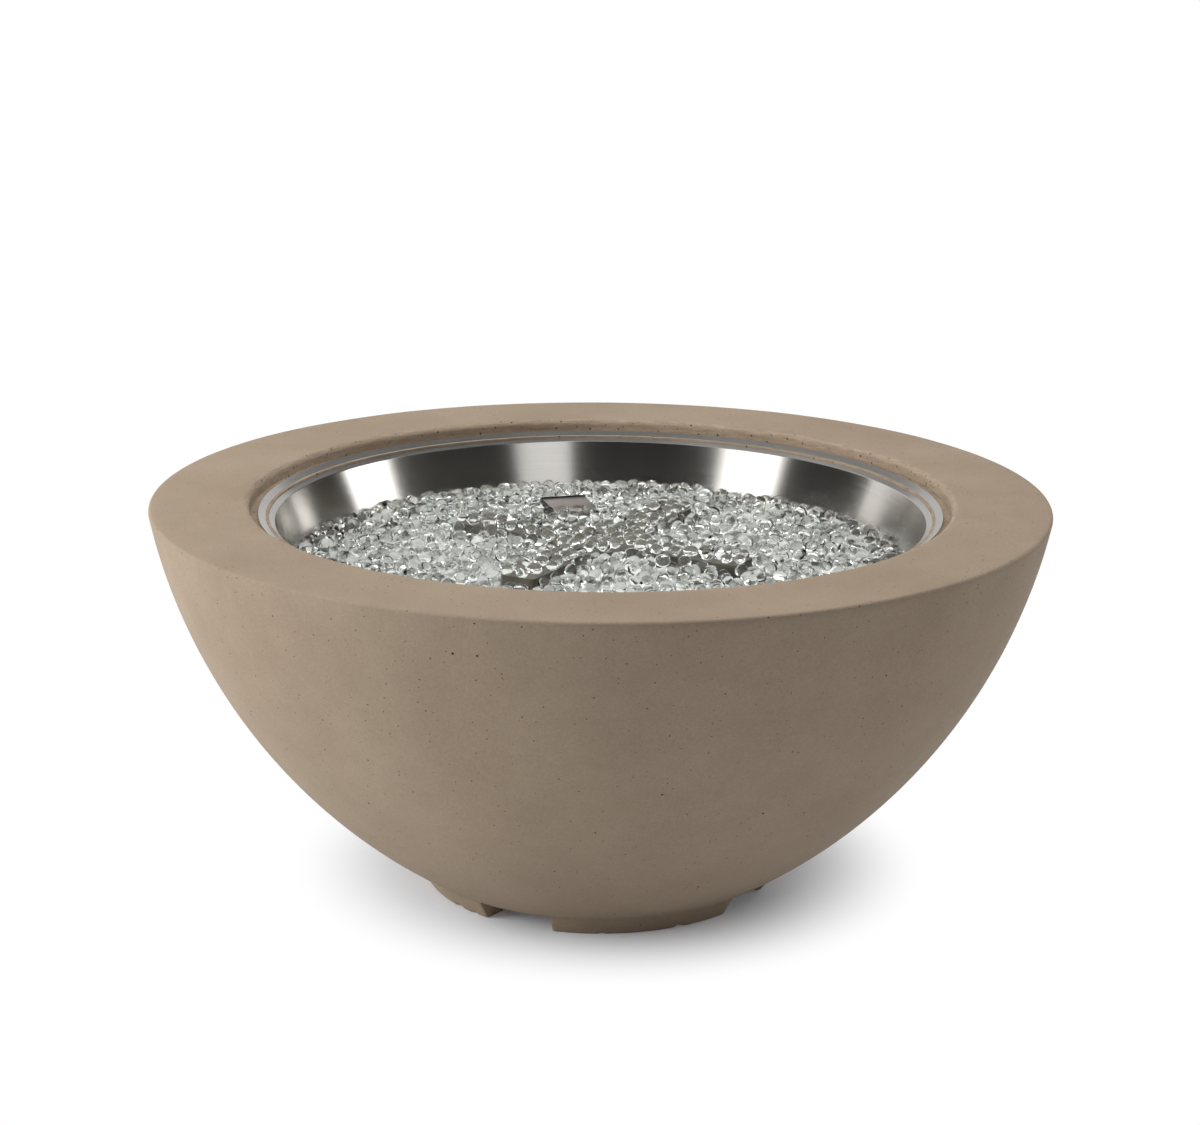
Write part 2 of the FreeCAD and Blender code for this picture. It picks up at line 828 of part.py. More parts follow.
def make_pan():
    sheet_below = s.pan_sheet
    fall = flange_top - s.flange_fall
    profile = [
        (nipple_hole(), pan_underside),
        rounded(
            s.pan_bottom_radius + sheet_below,
            pan_underside,
            s.pan_corner_round + sheet_below,
        ),
        rounded(s.pan_mouth_radius + sheet_below, fall - sheet_below, s.pan_mouth_round - sheet_below),
        (s.flange_radius - sheet_below, flange_top - sheet_below),
        (s.flange_radius - sheet_below, ledge_level),
        (s.flange_radius, ledge_level),
        rounded(s.flange_radius, flange_top, sheet_below),
        rounded(s.pan_mouth_radius, fall, s.pan_mouth_round),
        rounded(s.pan_bottom_radius, pan_floor, s.pan_corner_round),
        (nipple_hole(), pan_floor),
    ]
    pan = Piece("burner_pan").turn(profile)
    holes = [(x, y, s.screw_hole_radius) for x, y in standoff_places()]
    holes += [(x, s.pilot_distance, s.screw_hole_radius) for x in pilot_screw_places()]
    pan.cut([pilot_opening()], pan_underside, pan_floor, holes)
    pan.cut([], pan_underside, pan_floor, [(s.weep_hole_circle, 0, s.weep_hole_radius)])
    pan.spin(6)
    single(pan)


def standoff_places():
    reach = s.standoff_circle
    return [(reach * cosine(angle), reach * sine(angle)) for angle in (45, 135, 225, 315)]


def pilot_screw_places():
    x = s.hood_width / 2 + s.bracket_ear / 2
    return [-x, x]


def pilot_opening_width():
    return 2 * s.pilot_pitch + 4 * s.pilot_burner_radius


def pilot_opening_depth():
    return 4 * s.pilot_burner_radius


def pilot_opening():
    return rectangle(pilot_opening_width(), pilot_opening_depth(), y=s.pilot_distance)


# Rings of beads that stand out of the bed: the main ones of the loose fill.
bead_rings = 9


def make_glass():
    bottom = pan_floor + s.fit_gap
    depth = s.bed_edge_depth - s.bead_relief
    edge = pan_floor + depth
    crown = burner_top + s.glass_over_burner - s.bead_relief
    slope = (s.pan_mouth_radius - s.pan_bottom_radius) / (s.pan_depth - s.flange_fall)
    rim = s.pan_bottom_radius + slope * depth - s.bed_gap
    rise = crown - edge
    crown_radius = (rim * rim + rise * rise) / (2 * rise)
    profile = [
        (0, bottom),
        (s.pan_bottom_radius - s.pan_corner_round, bottom),
        (s.pan_bottom_radius - s.bed_gap, bottom + s.pan_corner_round),
        arc_from(rim, edge, crown_radius),
        (0, crown),
    ]
    glass = Piece("fire_glass").turn(profile)
    step = (rim - s.bead_radius - s.bead_proud) / bead_rings
    raised = s.bead_relief + s.bead_proud - s.bead_radius
    glass.ball(0, 0, crown + raised, s.bead_radius)
    for ring in range(1, bead_rings + 1):
        count = round(2 * math.pi * ring)
        turned = 180 / count * (ring % 2)
        reach = step * ring
        level = crown - crown_radius + root(crown_radius * crown_radius - reach * reach) + raised
        x = reach * math.cos(math.radians(turned))
        y = reach * math.sin(math.radians(turned))
        glass.ball(x, y, level, s.bead_radius)
        glass.spin(count)
    glass.cut([cross_outline(s.bed_gap)], bottom, burner_top + s.bed_gap)
    hood = rectangle(
        s.hood_width + 2 * s.hood_sheet + 2 * s.bed_gap,
        s.hood_depth + 2 * s.hood_sheet + 2 * s.bed_gap,
        y=s.pilot_distance,
    )
    glass.cut([hood], bottom, crown + s.bead_radius)
    ears = rectangle(
        s.hood_width + 2 * s.bracket_ear + 2 * s.bed_gap,
        s.hood_depth + 2 * s.hood_sheet + 2 * s.bed_gap,
        y=s.pilot_distance,
    )
    head_room = s.bracket_sheet + s.small_screw_head_height + s.bed_gap
    glass.cut([ears], bottom, pan_floor + head_room)
    single(glass)


# Burner

def burner_ports():
    """Two rows of gas ports along one arm, from the hub to the tip."""
    along = s.burner_hub_radius
    ports = []
    while along.number < s.burner_arm_length.number - s.port_inset.number:
        for side in (-1, 1):
            across = side * (s.burner_arm_width / 2 - s.port_inset)
            x = (along - across) * cosine(45)
            y = (along + across) * sine(45)
            ports.append((x, y, s.port_radius))
        along = along + s.port_pitch
    return ports


def make_burner():
    shell = Piece("burner_top_shell")
    shell.pad([cross_outline(0)], burner_bottom, burner_top)
    shell.cut_from(
        [cross_outline(-s.burner_sheet)],
        [],
        at(0, 0, burner_top - s.burner_sheet),
        s.burner_depth - s.burner_sheet,
    )
    shell.cut([], burner_top - s.burner_sheet, burner_top, burner_ports())
    shell.spin(4)
    single(shell)
    plate = Piece("burner_base_plate")
    plate.pad(
        [cross_outline(-s.burner_sheet - s.thread_gap)],
        burner_bottom,
        burner_bottom + s.burner_sheet,
        [(0, 0, s.nipple_radius + s.thread_gap)],
    )
    single(plate)


def make_standoffs():
    bore = s.screw_radius + s.thread_gap
    posts = []
    screws = []
    for number, (x, y) in enumerate(standoff_places(), start=1):
        place = at(x, y, 0)
        posts.append(hex_nut(f"standoff_{number}", place, s.standoff_flats, bore, pan_floor, burner_bottom))
        place = at(x, y, pan_underside, (1, 0, 0), 180)
        length = s.screw_length
        screws.append(standard_screw(f"burner_screw_{number}", place, length))
    group("burner_standoffs", posts)
    group("burner_screws", screws)


def make_feed():
    top = burner_bottom + s.burner_sheet
    single(cylinder_piece("burner_nipple", at(0, 0, 0), s.nipple_radius, nipple_bottom, top, s.nipple_bore))
    thread = s.nipple_radius + s.thread_gap
    low = pan_underside - s.nipple_locknut_height
    single(hex_nut("nipple_locknut", at(0, 0, 0), s.nipple_locknut_flats, thread, low, pan_underside))
    chamber = s.mixer_radius - s.shutter_wall
    collar = s.mixer_radius + s.shutter_wall
    mixer = Piece("air_mixer").turn([
        (s.orifice_thread_radius + s.thread_gap, mixer_bottom),
        (collar, mixer_bottom),
        (collar, chamber_bottom + s.mixer_collar),
        (s.mixer_radius, chamber_bottom + s.mixer_collar),
        (s.mixer_radius, mixer_top),
        (thread, mixer_top),
        (thread, nipple_bottom),
        (s.nipple_bore, nipple_bottom),
        (s.nipple_bore, chamber_top),
        (chamber, chamber_top - s.mixer_collar),
        (chamber, chamber_bottom),
        (s.orifice_thread_radius + s.thread_gap, chamber_bottom),
    ])
    reach = 2 * s.mixer_radius
    slots = [
        rectangle(reach, s.mixer_window_width, x=reach / 2 + s.mixer_window_inset),
        rectangle(reach, s.mixer_window_width, x=-reach / 2 - s.mixer_window_inset),
    ]
    mixer.cut(slots, window_bottom(), window_bottom() + s.mixer_window_height)
    single(mixer)
    shutter = Piece("air_shutter")
    low = chamber_bottom + s.mixer_collar + s.shutter_running_gap
    high = window_bottom() + s.mixer_window_height + s.mixer_collar
    inner = s.mixer_radius + s.shutter_running_gap
    outer = inner + s.shutter_wall
    shutter.pad([], low, high, [(0, 0, outer), (0, 0, inner)])
    shutter.cut(slots, window_bottom(), window_bottom() + s.mixer_window_height)
    tab_end = outer + 4 * s.shutter_wall
    tab = box_outline(-s.shutter_wall, s.shutter_wall, inner + s.shutter_wall / 2, tab_end)
    shutter.pad([tab], low, low + 2 * s.shutter_wall)
    single(shutter)


def window_bottom():
    return chamber_bottom + 2 * s.mixer_collar


def make_orifice():
    nozzle = s.orifice_thread_radius / 2
    orifice = Piece("gas_orifice").turn([
        (s.orifice_bore, orifice_bottom),
        (s.flare_thread_radius - s.flare_cone_step, orifice_bottom),
        (s.flare_thread_radius, orifice_bottom + s.flare_cone_depth),
        (s.flare_thread_radius, orifice_shoulder),
        (s.orifice_thread_radius, orifice_shoulder),
        (s.orifice_thread_radius, chamber_bottom),
        (nozzle, chamber_bottom + s.orifice_thread_radius),
        (s.orifice_bore, chamber_bottom + s.orifice_thread_radius),
    ])
    orifice.pad(
        [hexagon(s.orifice_flats)],
        orifice_shoulder,
        mixer_bottom,
        [(0, 0, s.orifice_bore)],
    )
    single(orifice)
    single(flare_nut("mixer_hose_nut", at(0, 0, mixer_nut_bottom)))


def flare_nut(label, place):
    """A hose nut from its own origin up: the hose's end below, the flare's thread inside."""
    length = s.hose_nut_length
    bore_end = length - s.flare_overlap
    nut = Piece(label, place).pad([hexagon(s.hose_nut_flats)], 0, length, [(0, 0, s.hose_bore)])
    thread = [(0, 0, s.flare_thread_radius + s.thread_gap)]
    return nut.cut([], bore_end, length, thread)


# Pilot

def make_pilot():
    half_width = s.hood_width / 2
    front = s.pilot_distance - s.hood_depth / 2
    back = s.pilot_distance + s.hood_depth / 2
    sheet_top = pan_floor + s.bracket_sheet
    opening = pilot_opening()
    ears = rectangle(s.hood_width + 2 * s.bracket_ear, s.hood_depth, y=s.pilot_distance)
    holes = [(x, s.pilot_distance, s.small_screw_radius + s.thread_gap) for x in pilot_screw_places()]
    bracket = Piece("pilot_bracket").pad([ears, opening], pan_floor, sheet_top, holes)
    rear_wall = box_outline(-half_width, half_width, back - s.bracket_sheet, back)
    left_wall = box_outline(-half_width, s.bracket_sheet - half_width, front, back)
    bracket.pad([rear_wall], pan_floor, hood_top + s.bracket_sheet)
    bracket.pad([left_wall], pan_floor, hood_top + s.hood_sheet / 2)
    single(bracket)
    inner_left = s.bracket_sheet - half_width + s.thread_gap
    inner_back = back - s.bracket_sheet - s.thread_gap
    hood = Piece("pilot_hood")
    hood.pad([box_outline(inner_left, half_width, front, inner_back)], hood_top - s.hood_sheet, hood_top)
    front_wall = box_outline(inner_left, half_width, front, front + s.hood_sheet)
    hood.pad([front_wall], hood_top - s.hood_front_drop, hood_top)
    side_wall = box_outline(half_width - s.hood_sheet, half_width, front, inner_back)
    hood.pad([side_wall], sheet_top + s.thread_gap, hood_top)
    single(hood)
    screws = [
        small_screw(f"pilot_screw_{number}", at(x, s.pilot_distance, sheet_top), s.pilot_screw_length)
        for number, x in enumerate(pilot_screw_places(), start=1)
    ]
    group("pilot_screws", screws)
    bottom = pan_floor - s.pilot_tail
    top = hood_top - s.hood_front_drop
    middle = at(0, s.pilot_distance, 0)
    burner = Piece("pilot_burner", middle).turn([
        (s.pilot_tube_radius, bottom),
        (s.pilot_burner_radius, bottom),
        (s.pilot_burner_radius, top),
        (s.pilot_tube_radius, top),
    ])
    single(burner)
    left = at(-s.pilot_pitch, s.pilot_distance, 0)
    rod = s.electrode_rod_radius + s.thread_gap
    single(cylinder_piece("electrode_insulator", left, s.electrode_radius, bottom, top, rod))
    rod_top = top + s.electrode_proud
    single(cylinder_piece("spark_electrode", left, s.electrode_rod_radius, bottom, rod_top))
    right = at(s.pilot_pitch, s.pilot_distance, 0)
    probe_top = top + s.thermocouple_proud
    probe = Piece("thermocouple", right).turn([
        (0, bottom),
        (s.thermocouple_collar_radius, bottom),
        (s.thermocouple_collar_radius, pan_floor),
        (s.thermocouple_radius, pan_floor),
        rounded(s.thermocouple_radius, probe_top, s.thermocouple_tip_round),
        (0, probe_top),
    ])
    single(probe)
    single(pilot_plate())


def pilot_plate():
    """The plate under the bracket's opening that holds the burner, electrode and probe."""
    level = pan_underside - s.bracket_sheet
    margin = s.pilot_plate_margin
    width = pilot_opening_width() + 2 * margin
    depth = pilot_opening_depth() + 2 * margin
    outline = rectangle(width, depth, y=s.pilot_distance)
    holes = [
        (-s.pilot_pitch, s.pilot_distance, s.electrode_radius + s.thread_gap),
        (0, s.pilot_distance, s.pilot_burner_radius + s.thread_gap),
        (s.pilot_pitch, s.pilot_distance, s.thermocouple_collar_radius + s.thread_gap),
    ]
    return Piece("pilot_plate").pad([outline], level, pan_underside, holes)


# Control panel

def make_panel():
    holes = [
        (-s.valve_offset, 0, s.stem_hole_radius),
        (s.igniter_offset, 0, s.igniter_barrel_radius + s.thread_gap),
    ]
    holes += [(x, y, s.screw_hole_radius) for x, y in panel_screw_places()]
    holes += [(x, 0, s.small_screw_radius + s.thread_gap) for x in valve_screw_places()]
    outline = rectangle(s.panel_width, s.panel_height, corner=s.panel_corner)
    single(Piece("control_panel", on_panel()).pad([outline], panel_back, panel_face, holes))
    screws = []
    anchors = []
    for number, (x, y) in enumerate(panel_screw_places(), start=1):
        screws.append(standard_screw(f"panel_screw_{number}", on_panel(x, y, panel_face), s.screw_length))
        anchors.append(anchor(f"panel_anchor_{number}", on_panel(x, y, panel_back)))
    group("panel_screws", screws)
    group("panel_anchors", anchors)


def valve_screw_places():
    return [-s.valve_offset - s.valve_screw_pitch / 2, -s.valve_offset + s.valve_screw_pitch / 2]


def make_valve():
    bore = s.plunger_radius + s.fit_gap
    floor = panel_back - s.plunger_height - s.plunger_spring_length - s.fit_gap
    shaft = s.stem_radius + s.fit_gap
    pitch = s.valve_screw_pitch / 2
    valve = Piece("gas_valve", on_panel(-s.valve_offset))
    valve.pad([rectangle(s.valve_width, s.valve_height)], valve_back, panel_back)
    flange = rectangle(s.valve_flange_width, s.valve_height)
    valve.pad([flange], panel_back - s.valve_flange, panel_back)
    threads = [(side * pitch, 0, s.small_screw_radius + s.thread_gap) for side in (-1, 1)]
    valve.cut([], panel_back - s.screw_length, panel_back, threads)
    valve.cut([], floor, panel_back, [(0, 0, bore)])
    tail_room = s.knob_travel + s.fit_gap
    valve.cut([], panel_face - s.stem_tail - tail_room, floor, [(0, 0, shaft)])
    single(valve)
    ports = [
        cylinder_piece(
            f"valve_port_{number}",
            valve_port_place(side, -s.valve_height / 2 - s.thread_gap),
            s.valve_port_radius,
            0,
            s.valve_port_length,
            s.hose_bore,
        )
        for number, side in ((1, -1), (2, 1))
    ]
    group("valve_ports", ports)
    nuts = [
        valve_nut(f"valve_hose_nut_{number}", side)
        for number, side in ((1, -1), (2, 1))
    ]
    group("valve_hose_nuts", nuts)
    screws = [
        small_screw(f"valve_screw_{number}", on_panel(x, 0, panel_face), s.valve_screw_length)
        for number, x in enumerate(valve_screw_places(), start=1)
    ]
    group("valve_screws", screws)


def valve_port_x(side):
    return -s.valve_offset + side * s.valve_port_pitch / 2


def valve_port_place(side, y):
    return on_panel_downwards(valve_port_x(side), y, valve_ports_level)


def valve_nut(label, side):
    """A hose nut on a valve port, its thread over the port and its mouth on the hose."""
    length = s.hose_nut_length
    place = valve_port_place(side, valve_nut_top())
    nut = Piece(label, place).pad([hexagon(s.valve_nut_flats)], 0, length, [(0, 0, s.hose_bore)])
    thread = s.valve_port_radius + s.thread_gap
    return nut.cut([], 0, s.valve_nut_overlap, [(0, 0, thread)])


def valve_nut_top():
    return valve_port_end + s.valve_nut_overlap - s.thread_gap


def valve_hose_end(side):
    """Where a hose leaves its nut under the valve, and a point further along its way."""
    x = valve_port_x(side)
    y = valve_nut_top() - s.hose_nut_length
    further = y - s.hose_straight
    return panel_point(x, y, valve_ports_level), panel_point(x, further, valve_ports_level)


def make_knob():
    place = on_panel(-s.valve_offset)
    collar_top = panel_back - s.fit_gap
    collar_bottom = collar_top - s.plunger_height
    inner = s.stem_radius + s.thread_gap
    collar = cylinder_piece("stem_plunger", place, s.plunger_radius, collar_bottom, collar_top, inner)
    single(collar)
    spring_bottom = collar_bottom - s.plunger_spring_length + s.fit_gap
    spring_radius = s.plunger_radius - s.fit_gap
    bore = spring_radius - s.plunger_spring_wire
    single(cylinder_piece("plunger_spring", place, spring_radius, spring_bottom, collar_bottom, bore))
    stem_top = panel_face + s.stem_reach
    stem_bottom = panel_face - s.stem_tail
    stem = Piece("valve_stem", place).turn([
        (0, stem_bottom),
        (s.stem_radius, stem_bottom),
        (s.stem_radius, stem_top - s.stem_chamfer),
        (s.stem_radius - s.stem_chamfer, stem_top),
        (0, stem_top),
    ])
    single(stem)
    knob_top = knob_bottom + s.knob_height
    hollow = knob_bottom + s.knob_hollow
    grip = s.knob_radius - s.knob_rim
    knob = Piece("control_knob", place).turn([
        (inner, knob_bottom),
        (s.knob_hub_radius, knob_bottom),
        (s.knob_hub_radius, hollow),
        (grip, hollow),
        (grip, knob_bottom),
        (s.knob_radius, knob_bottom),
        (s.knob_radius, hollow),
        (grip, hollow + s.knob_step),
        rounded(grip - s.knob_draft, knob_top, s.knob_top_round),
        (0, knob_top),
        (0, stem_top + s.fit_gap),
        (inner, stem_top + s.fit_gap),
    ])
    flutes = [(grip + s.knob_flute_offset, 0, s.knob_flute_radius)]
    knob.cut([], hollow + s.knob_step, knob_top, flutes)
    knob.spin(12)
    level = (knob_top + hollow) / 2
    set_hole = s.small_screw_radius + s.thread_gap
    across = "rotation(vector(0; 1; 0); 90)"
    hole_place = f"placement(vector({s.knob_radius.text}; 0; {level.text}); {across})"
    knob.cut_from([], [(0, 0, set_hole)], hole_place, s.knob_radius - s.stem_radius)
    single(knob)
    set_screw = cylinder_piece(
        "knob_set_screw",
        f"{place} * placement(vector(0; 0; {level.text}); {across})",
        s.small_screw_radius,
        s.stem_radius + s.thread_gap,
        s.set_screw_reach,
    )
    single(set_screw)
    bezel = Piece("knob_bezel", place).turn([
        (s.bezel_bore, panel_face),
        (s.bezel_radius, panel_face),
        rounded(s.bezel_radius, bezel_face, s.bezel_edge_round),
        (s.bezel_bore, bezel_face),
    ])
    single(bezel)


def make_igniter():
    place = on_panel(s.igniter_offset)
    mouth = s.button_radius + s.fit_gap
    lip = igniter_face - s.igniter_lip
    housing = Piece("igniter_housing", place).turn([
        (0, igniter_back),
        (s.igniter_barrel_radius, igniter_back),
        (s.igniter_barrel_radius, panel_face),
        (s.igniter_flange_radius, panel_face),
        rounded(s.igniter_flange_radius, igniter_face, s.bezel_edge_round),
        (mouth, igniter_face),
        (mouth, lip),
        (s.igniter_bore, lip),
        (s.igniter_bore, battery_bottom),
        (0, battery_bottom),
    ])
    for side in (-1, 1):
        blade = rectangle(s.terminal_thickness, s.terminal_width, x=side * s.terminal_offset)
        housing.pad([blade], igniter_back - s.terminal_length, igniter_back + s.igniter_end_wall / 2)
    single(housing)
    thread = s.igniter_barrel_radius + s.thread_gap
    low = panel_back - s.igniter_nut_height
    single(hex_nut("igniter_nut", place, s.igniter_nut_flats, thread, low, panel_back))
    foot_top = lip - s.fit_gap
    foot_bottom = foot_top - s.button_foot
    button_top = igniter_face + s.button_travel + s.button_left_proud
    button = Piece("igniter_button", place).turn([
        (0, foot_bottom),
        (s.igniter_bore - s.fit_gap, foot_bottom),
        (s.igniter_bore - s.fit_gap, foot_top),
        (s.button_radius, foot_top),
        rounded(s.button_radius, button_top, s.button_edge_round),
        (0, button_top),
    ])
    single(button)
    spring = cylinder_piece(
        "button_spring",
        place,
        s.battery_radius,
        foot_bottom - s.button_spring_length,
        foot_bottom,
        s.battery_radius - s.button_spring_wire,
    )
    single(spring)
    battery_top = battery_bottom + s.battery_length
    shoulder = battery_top - s.battery_cap_height
    battery = Piece("igniter_battery", place).turn([
        (0, battery_bottom),
        (s.battery_radius, battery_bottom),
        rounded(s.battery_radius, shoulder, s.battery_edge_round),
        (s.battery_cap_radius, shoulder),
        (s.battery_cap_radius, battery_top),
        (0, battery_top),
    ])
    single(battery)


# Gas inlet

def make_inlet():
    top = cavity_floor + s.inlet_bracket_thickness
    outline = rectangle(s.inlet_bracket_length, s.inlet_bracket_width, corner=s.panel_corner)
    holes = [(0, 0, s.flare_thread_radius + s.thread_gap)]
    holes += [(x, 0, s.screw_hole_radius) for x in bracket_screw_places()]
    single(Piece("inlet_bracket").pad([outline], cavity_floor, top, holes))
    screws = []
    anchors = []
    for number, x in enumerate(bracket_screw_places(), start=1):
        length = s.screw_length
        screws.append(standard_screw(f"bracket_screw_{number}", at(x, 0, top), length))
        anchors.append(anchor(f"bracket_anchor_{number}", at(x, 0, cavity_floor)))
    group("bracket_screws", screws)
    group("bracket_anchors", anchors)
    hex_bottom = cavity_floor - s.inlet_hex_height
    pin_bottom = hex_bottom - s.inlet_pin_length
    thread_top = top + s.inlet_thread_above
    fitting = Piece("gas_inlet_fitting").turn([
        (s.hose_bore, pin_bottom),
        (s.flare_thread_radius, pin_bottom),
        (s.flare_thread_radius, thread_top),
        (s.hose_bore, thread_top),
    ])
    collar = [hexagon(s.inlet_hex_flats)]
    fitting.pad(collar, hex_bottom, cavity_floor, [(0, 0, s.hose_bore)])
    single(fitting)
    thread = s.flare_thread_radius + s.thread_gap
    nut_top = top + s.inlet_nut_height
    single(hex_nut("inlet_locknut", at(0, 0, 0), s.inlet_nut_flats, thread, top, nut_top))
    elbow_bottom = nut_top + s.fit_gap
    elbow_top = elbow_bottom + s.elbow_height
    elbow = Piece("inlet_elbow").pad([], elbow_bottom, elbow_top, [(0, 0, s.elbow_radius)])
    elbow.cut([], elbow_bottom, thread_top + s.fit_gap, [(0, 0, thread)])
    single(elbow)
    outlet = Piece("elbow_outlet", backwards(0)).turn([
        (s.hose_bore, s.elbow_radius + s.thread_gap),
        (s.flare_thread_radius, s.elbow_radius + s.thread_gap),
        (s.flare_thread_radius, s.elbow_radius + s.elbow_reach),
        (s.hose_bore, s.elbow_radius + s.elbow_reach),
    ])
    single(outlet)
    start = s.elbow_radius + s.elbow_reach - s.flare_overlap
    nut = Piece("elbow_hose_nut", backwards(start))
    nut.pad([hexagon(s.hose_nut_flats)], 0, s.hose_nut_length, [(0, 0, s.hose_bore)])
    nut.cut([], 0, s.flare_overlap, [(0, 0, thread)])
    single(nut)


def backwards(start):
    """The placement of a piece that lies along +Y from a start, at the elbow's level."""
    return at(0, start, elbow_level(), (1, 0, 0), -90)


def elbow_level():
    nut_top = cavity_floor + s.inlet_bracket_thickness + s.inlet_nut_height
    return nut_top + s.fit_gap + s.elbow_height - s.elbow_radius


# Routes: their ends follow the fittings, and the points between are chosen by hand, as
# distances from the bowl's inner wall, the pan, the pilot and the fittings

def by_wall(x, level, gap):
    """A point behind the middle, a gap in front of the bowl's inner wall at a level."""
    return x, side_at(level, s.bowl_wall) - gap, level


def make_lines():
    outlet, below_outlet = valve_hose_end(1)
    tube("burner_hose", [
        outlet,
        below_outlet,
        by_wall(10, below_outlet[2] - 78, 15),
        (0, 0.565 * panel_reach, mixer_nut_bottom - 118),
        (-2, 0.377 * panel_reach, mixer_nut_bottom - 134),
        (-4, 0.2 * panel_reach, mixer_nut_bottom - 136),
        (-2, 0.06 * panel_reach, mixer_nut_bottom - 116),
        (0, 0, mixer_nut_bottom - 66),
        (0, 0, mixer_nut_bottom),
    ], s.hose_radius, s.hose_bore)
    inlet, below_inlet = valve_hose_end(-1)
    elbow = elbow_level()
    elbow_end = s.elbow_radius + s.elbow_reach - s.flare_overlap + s.hose_nut_length
    tube("supply_hose", [
        inlet,
        below_inlet,
        by_wall(50, below_inlet[2] - 96, 9),
        by_wall(44, elbow + 26, 13),
        (26, 0.398 * panel_reach, elbow - 6),
        (6, elbow_end + 80, elbow - 8),
        (0, elbow_end + 40, elbow),
        (0, elbow_end, elbow),
    ], s.hose_radius, s.hose_bore)
    tail = pan_floor - s.pilot_tail
    behind = s.pilot_distance
    port = -s.valve_offset + s.pilot_port_offset
    tube("pilot_tube", [
        panel_point(port, 0, valve_back),
        panel_point(port, 0, valve_back - s.lead_straight),
        (22, behind + 172, pan_underside - 67),
        (14, behind + 92, pan_underside - 85),
        (4, behind + 27, pan_underside - 77),
        (0, behind, tail - 35),
        (0, behind, tail),
    ], s.pilot_tube_radius)
    port = -s.valve_offset - s.thermocouple_port_offset
    tube("thermocouple_lead", [
        panel_point(port, 0, valve_back),
        panel_point(port, 0, valve_back - s.lead_straight),
        (42, behind + 167, pan_underside - 63),
        (32, behind + 92, pan_underside - 77),
        (18, behind + 32, pan_underside - 71),
        (s.pilot_pitch, behind, tail - 32),
        (s.pilot_pitch, behind, tail),
    ], s.thermocouple_lead_radius)
    tube("igniter_lead", [
        panel_point(s.igniter_offset, 0, igniter_back),
        panel_point(s.igniter_offset, 0, igniter_back - s.lead_straight),
        (-38, behind + 148, pan_underside - 67),
        (-30, behind + 82, pan_underside - 83),
        (-18, behind + 27, pan_underside - 75),
        (-s.pilot_pitch, behind, tail - 34),
        (-s.pilot_pitch, behind, tail),
    ], s.igniter_lead_radius)


for make in (
    make_bowl,
    make_pan,
    make_glass,
    make_burner,
    make_standoffs,
    make_feed,
    make_orifice,
    make_pilot,
    make_panel,
    make_valve,
    make_knob,
    make_igniter,
    make_inlet,
    make_lines,
):
    make()
document.recompute()


# Checks, then the files

for alias, number in kept_sizes.items():
    if abs(worked_out.get(alias) - number) > 1e-6:
        raise RuntimeError(f"{alias}: the sheet gives {worked_out.get(alias)}, not {number}")
for item in document.Objects:
    if "Invalid" in item.State or "Error" in item.State:
        raise RuntimeError(f"{item.Label}: {item.State}")
for item in sub_parts:
    if item.Shape.isNull() or not item.Shape.isValid():
        raise RuntimeError(f"{item.Label}: its shape is empty or broken")

os.makedirs("parts", exist_ok=True)
for item in sub_parts:
    item.Shape.exportStep(f"parts/{item.Label}.step")
print(f"{len(sub_parts)} sub-parts written")
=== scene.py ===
import json
import math

import bmesh
import bpy
import numpy as np
from mathutils import Matrix, Vector, noise

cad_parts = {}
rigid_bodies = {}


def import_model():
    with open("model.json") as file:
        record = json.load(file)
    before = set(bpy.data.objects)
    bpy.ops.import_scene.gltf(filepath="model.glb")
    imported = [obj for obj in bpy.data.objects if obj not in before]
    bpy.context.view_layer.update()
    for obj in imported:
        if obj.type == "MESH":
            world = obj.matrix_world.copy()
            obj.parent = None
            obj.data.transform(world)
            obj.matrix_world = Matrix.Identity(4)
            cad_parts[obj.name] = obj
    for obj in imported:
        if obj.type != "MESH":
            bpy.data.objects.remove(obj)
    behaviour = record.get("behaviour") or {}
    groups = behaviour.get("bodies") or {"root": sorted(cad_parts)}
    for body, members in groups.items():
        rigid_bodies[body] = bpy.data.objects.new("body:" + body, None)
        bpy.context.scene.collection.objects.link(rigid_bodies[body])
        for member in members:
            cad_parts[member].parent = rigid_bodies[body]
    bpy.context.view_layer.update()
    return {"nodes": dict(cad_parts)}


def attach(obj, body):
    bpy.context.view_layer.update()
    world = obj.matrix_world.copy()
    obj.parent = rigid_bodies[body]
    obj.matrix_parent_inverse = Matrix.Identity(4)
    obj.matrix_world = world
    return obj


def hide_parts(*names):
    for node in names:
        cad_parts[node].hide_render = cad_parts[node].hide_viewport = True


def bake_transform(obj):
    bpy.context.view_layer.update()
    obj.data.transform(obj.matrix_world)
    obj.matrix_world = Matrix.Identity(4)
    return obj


for startItem in list(bpy.data.objects):  # the startup cube, lamp and camera
    bpy.data.objects.remove(startItem, do_unlink=True)
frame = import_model()
nodes = frame["nodes"]
mm = 0.001
print("frame loaded:", len(nodes), "nodes")


# Helpers

def linear(code, alpha=1):  # an sRGB hex value as linear colour
    parts = [int(code[i:i + 2], 16) / 255 for i in (1, 3, 5)]
    parts = [p / 12.92 if p <= 0.04045 else ((p + 0.055) / 1.055) ** 2.4 for p in parts]
    return (*parts, alpha)


def grey(value):
    return (value, value, value, 1)


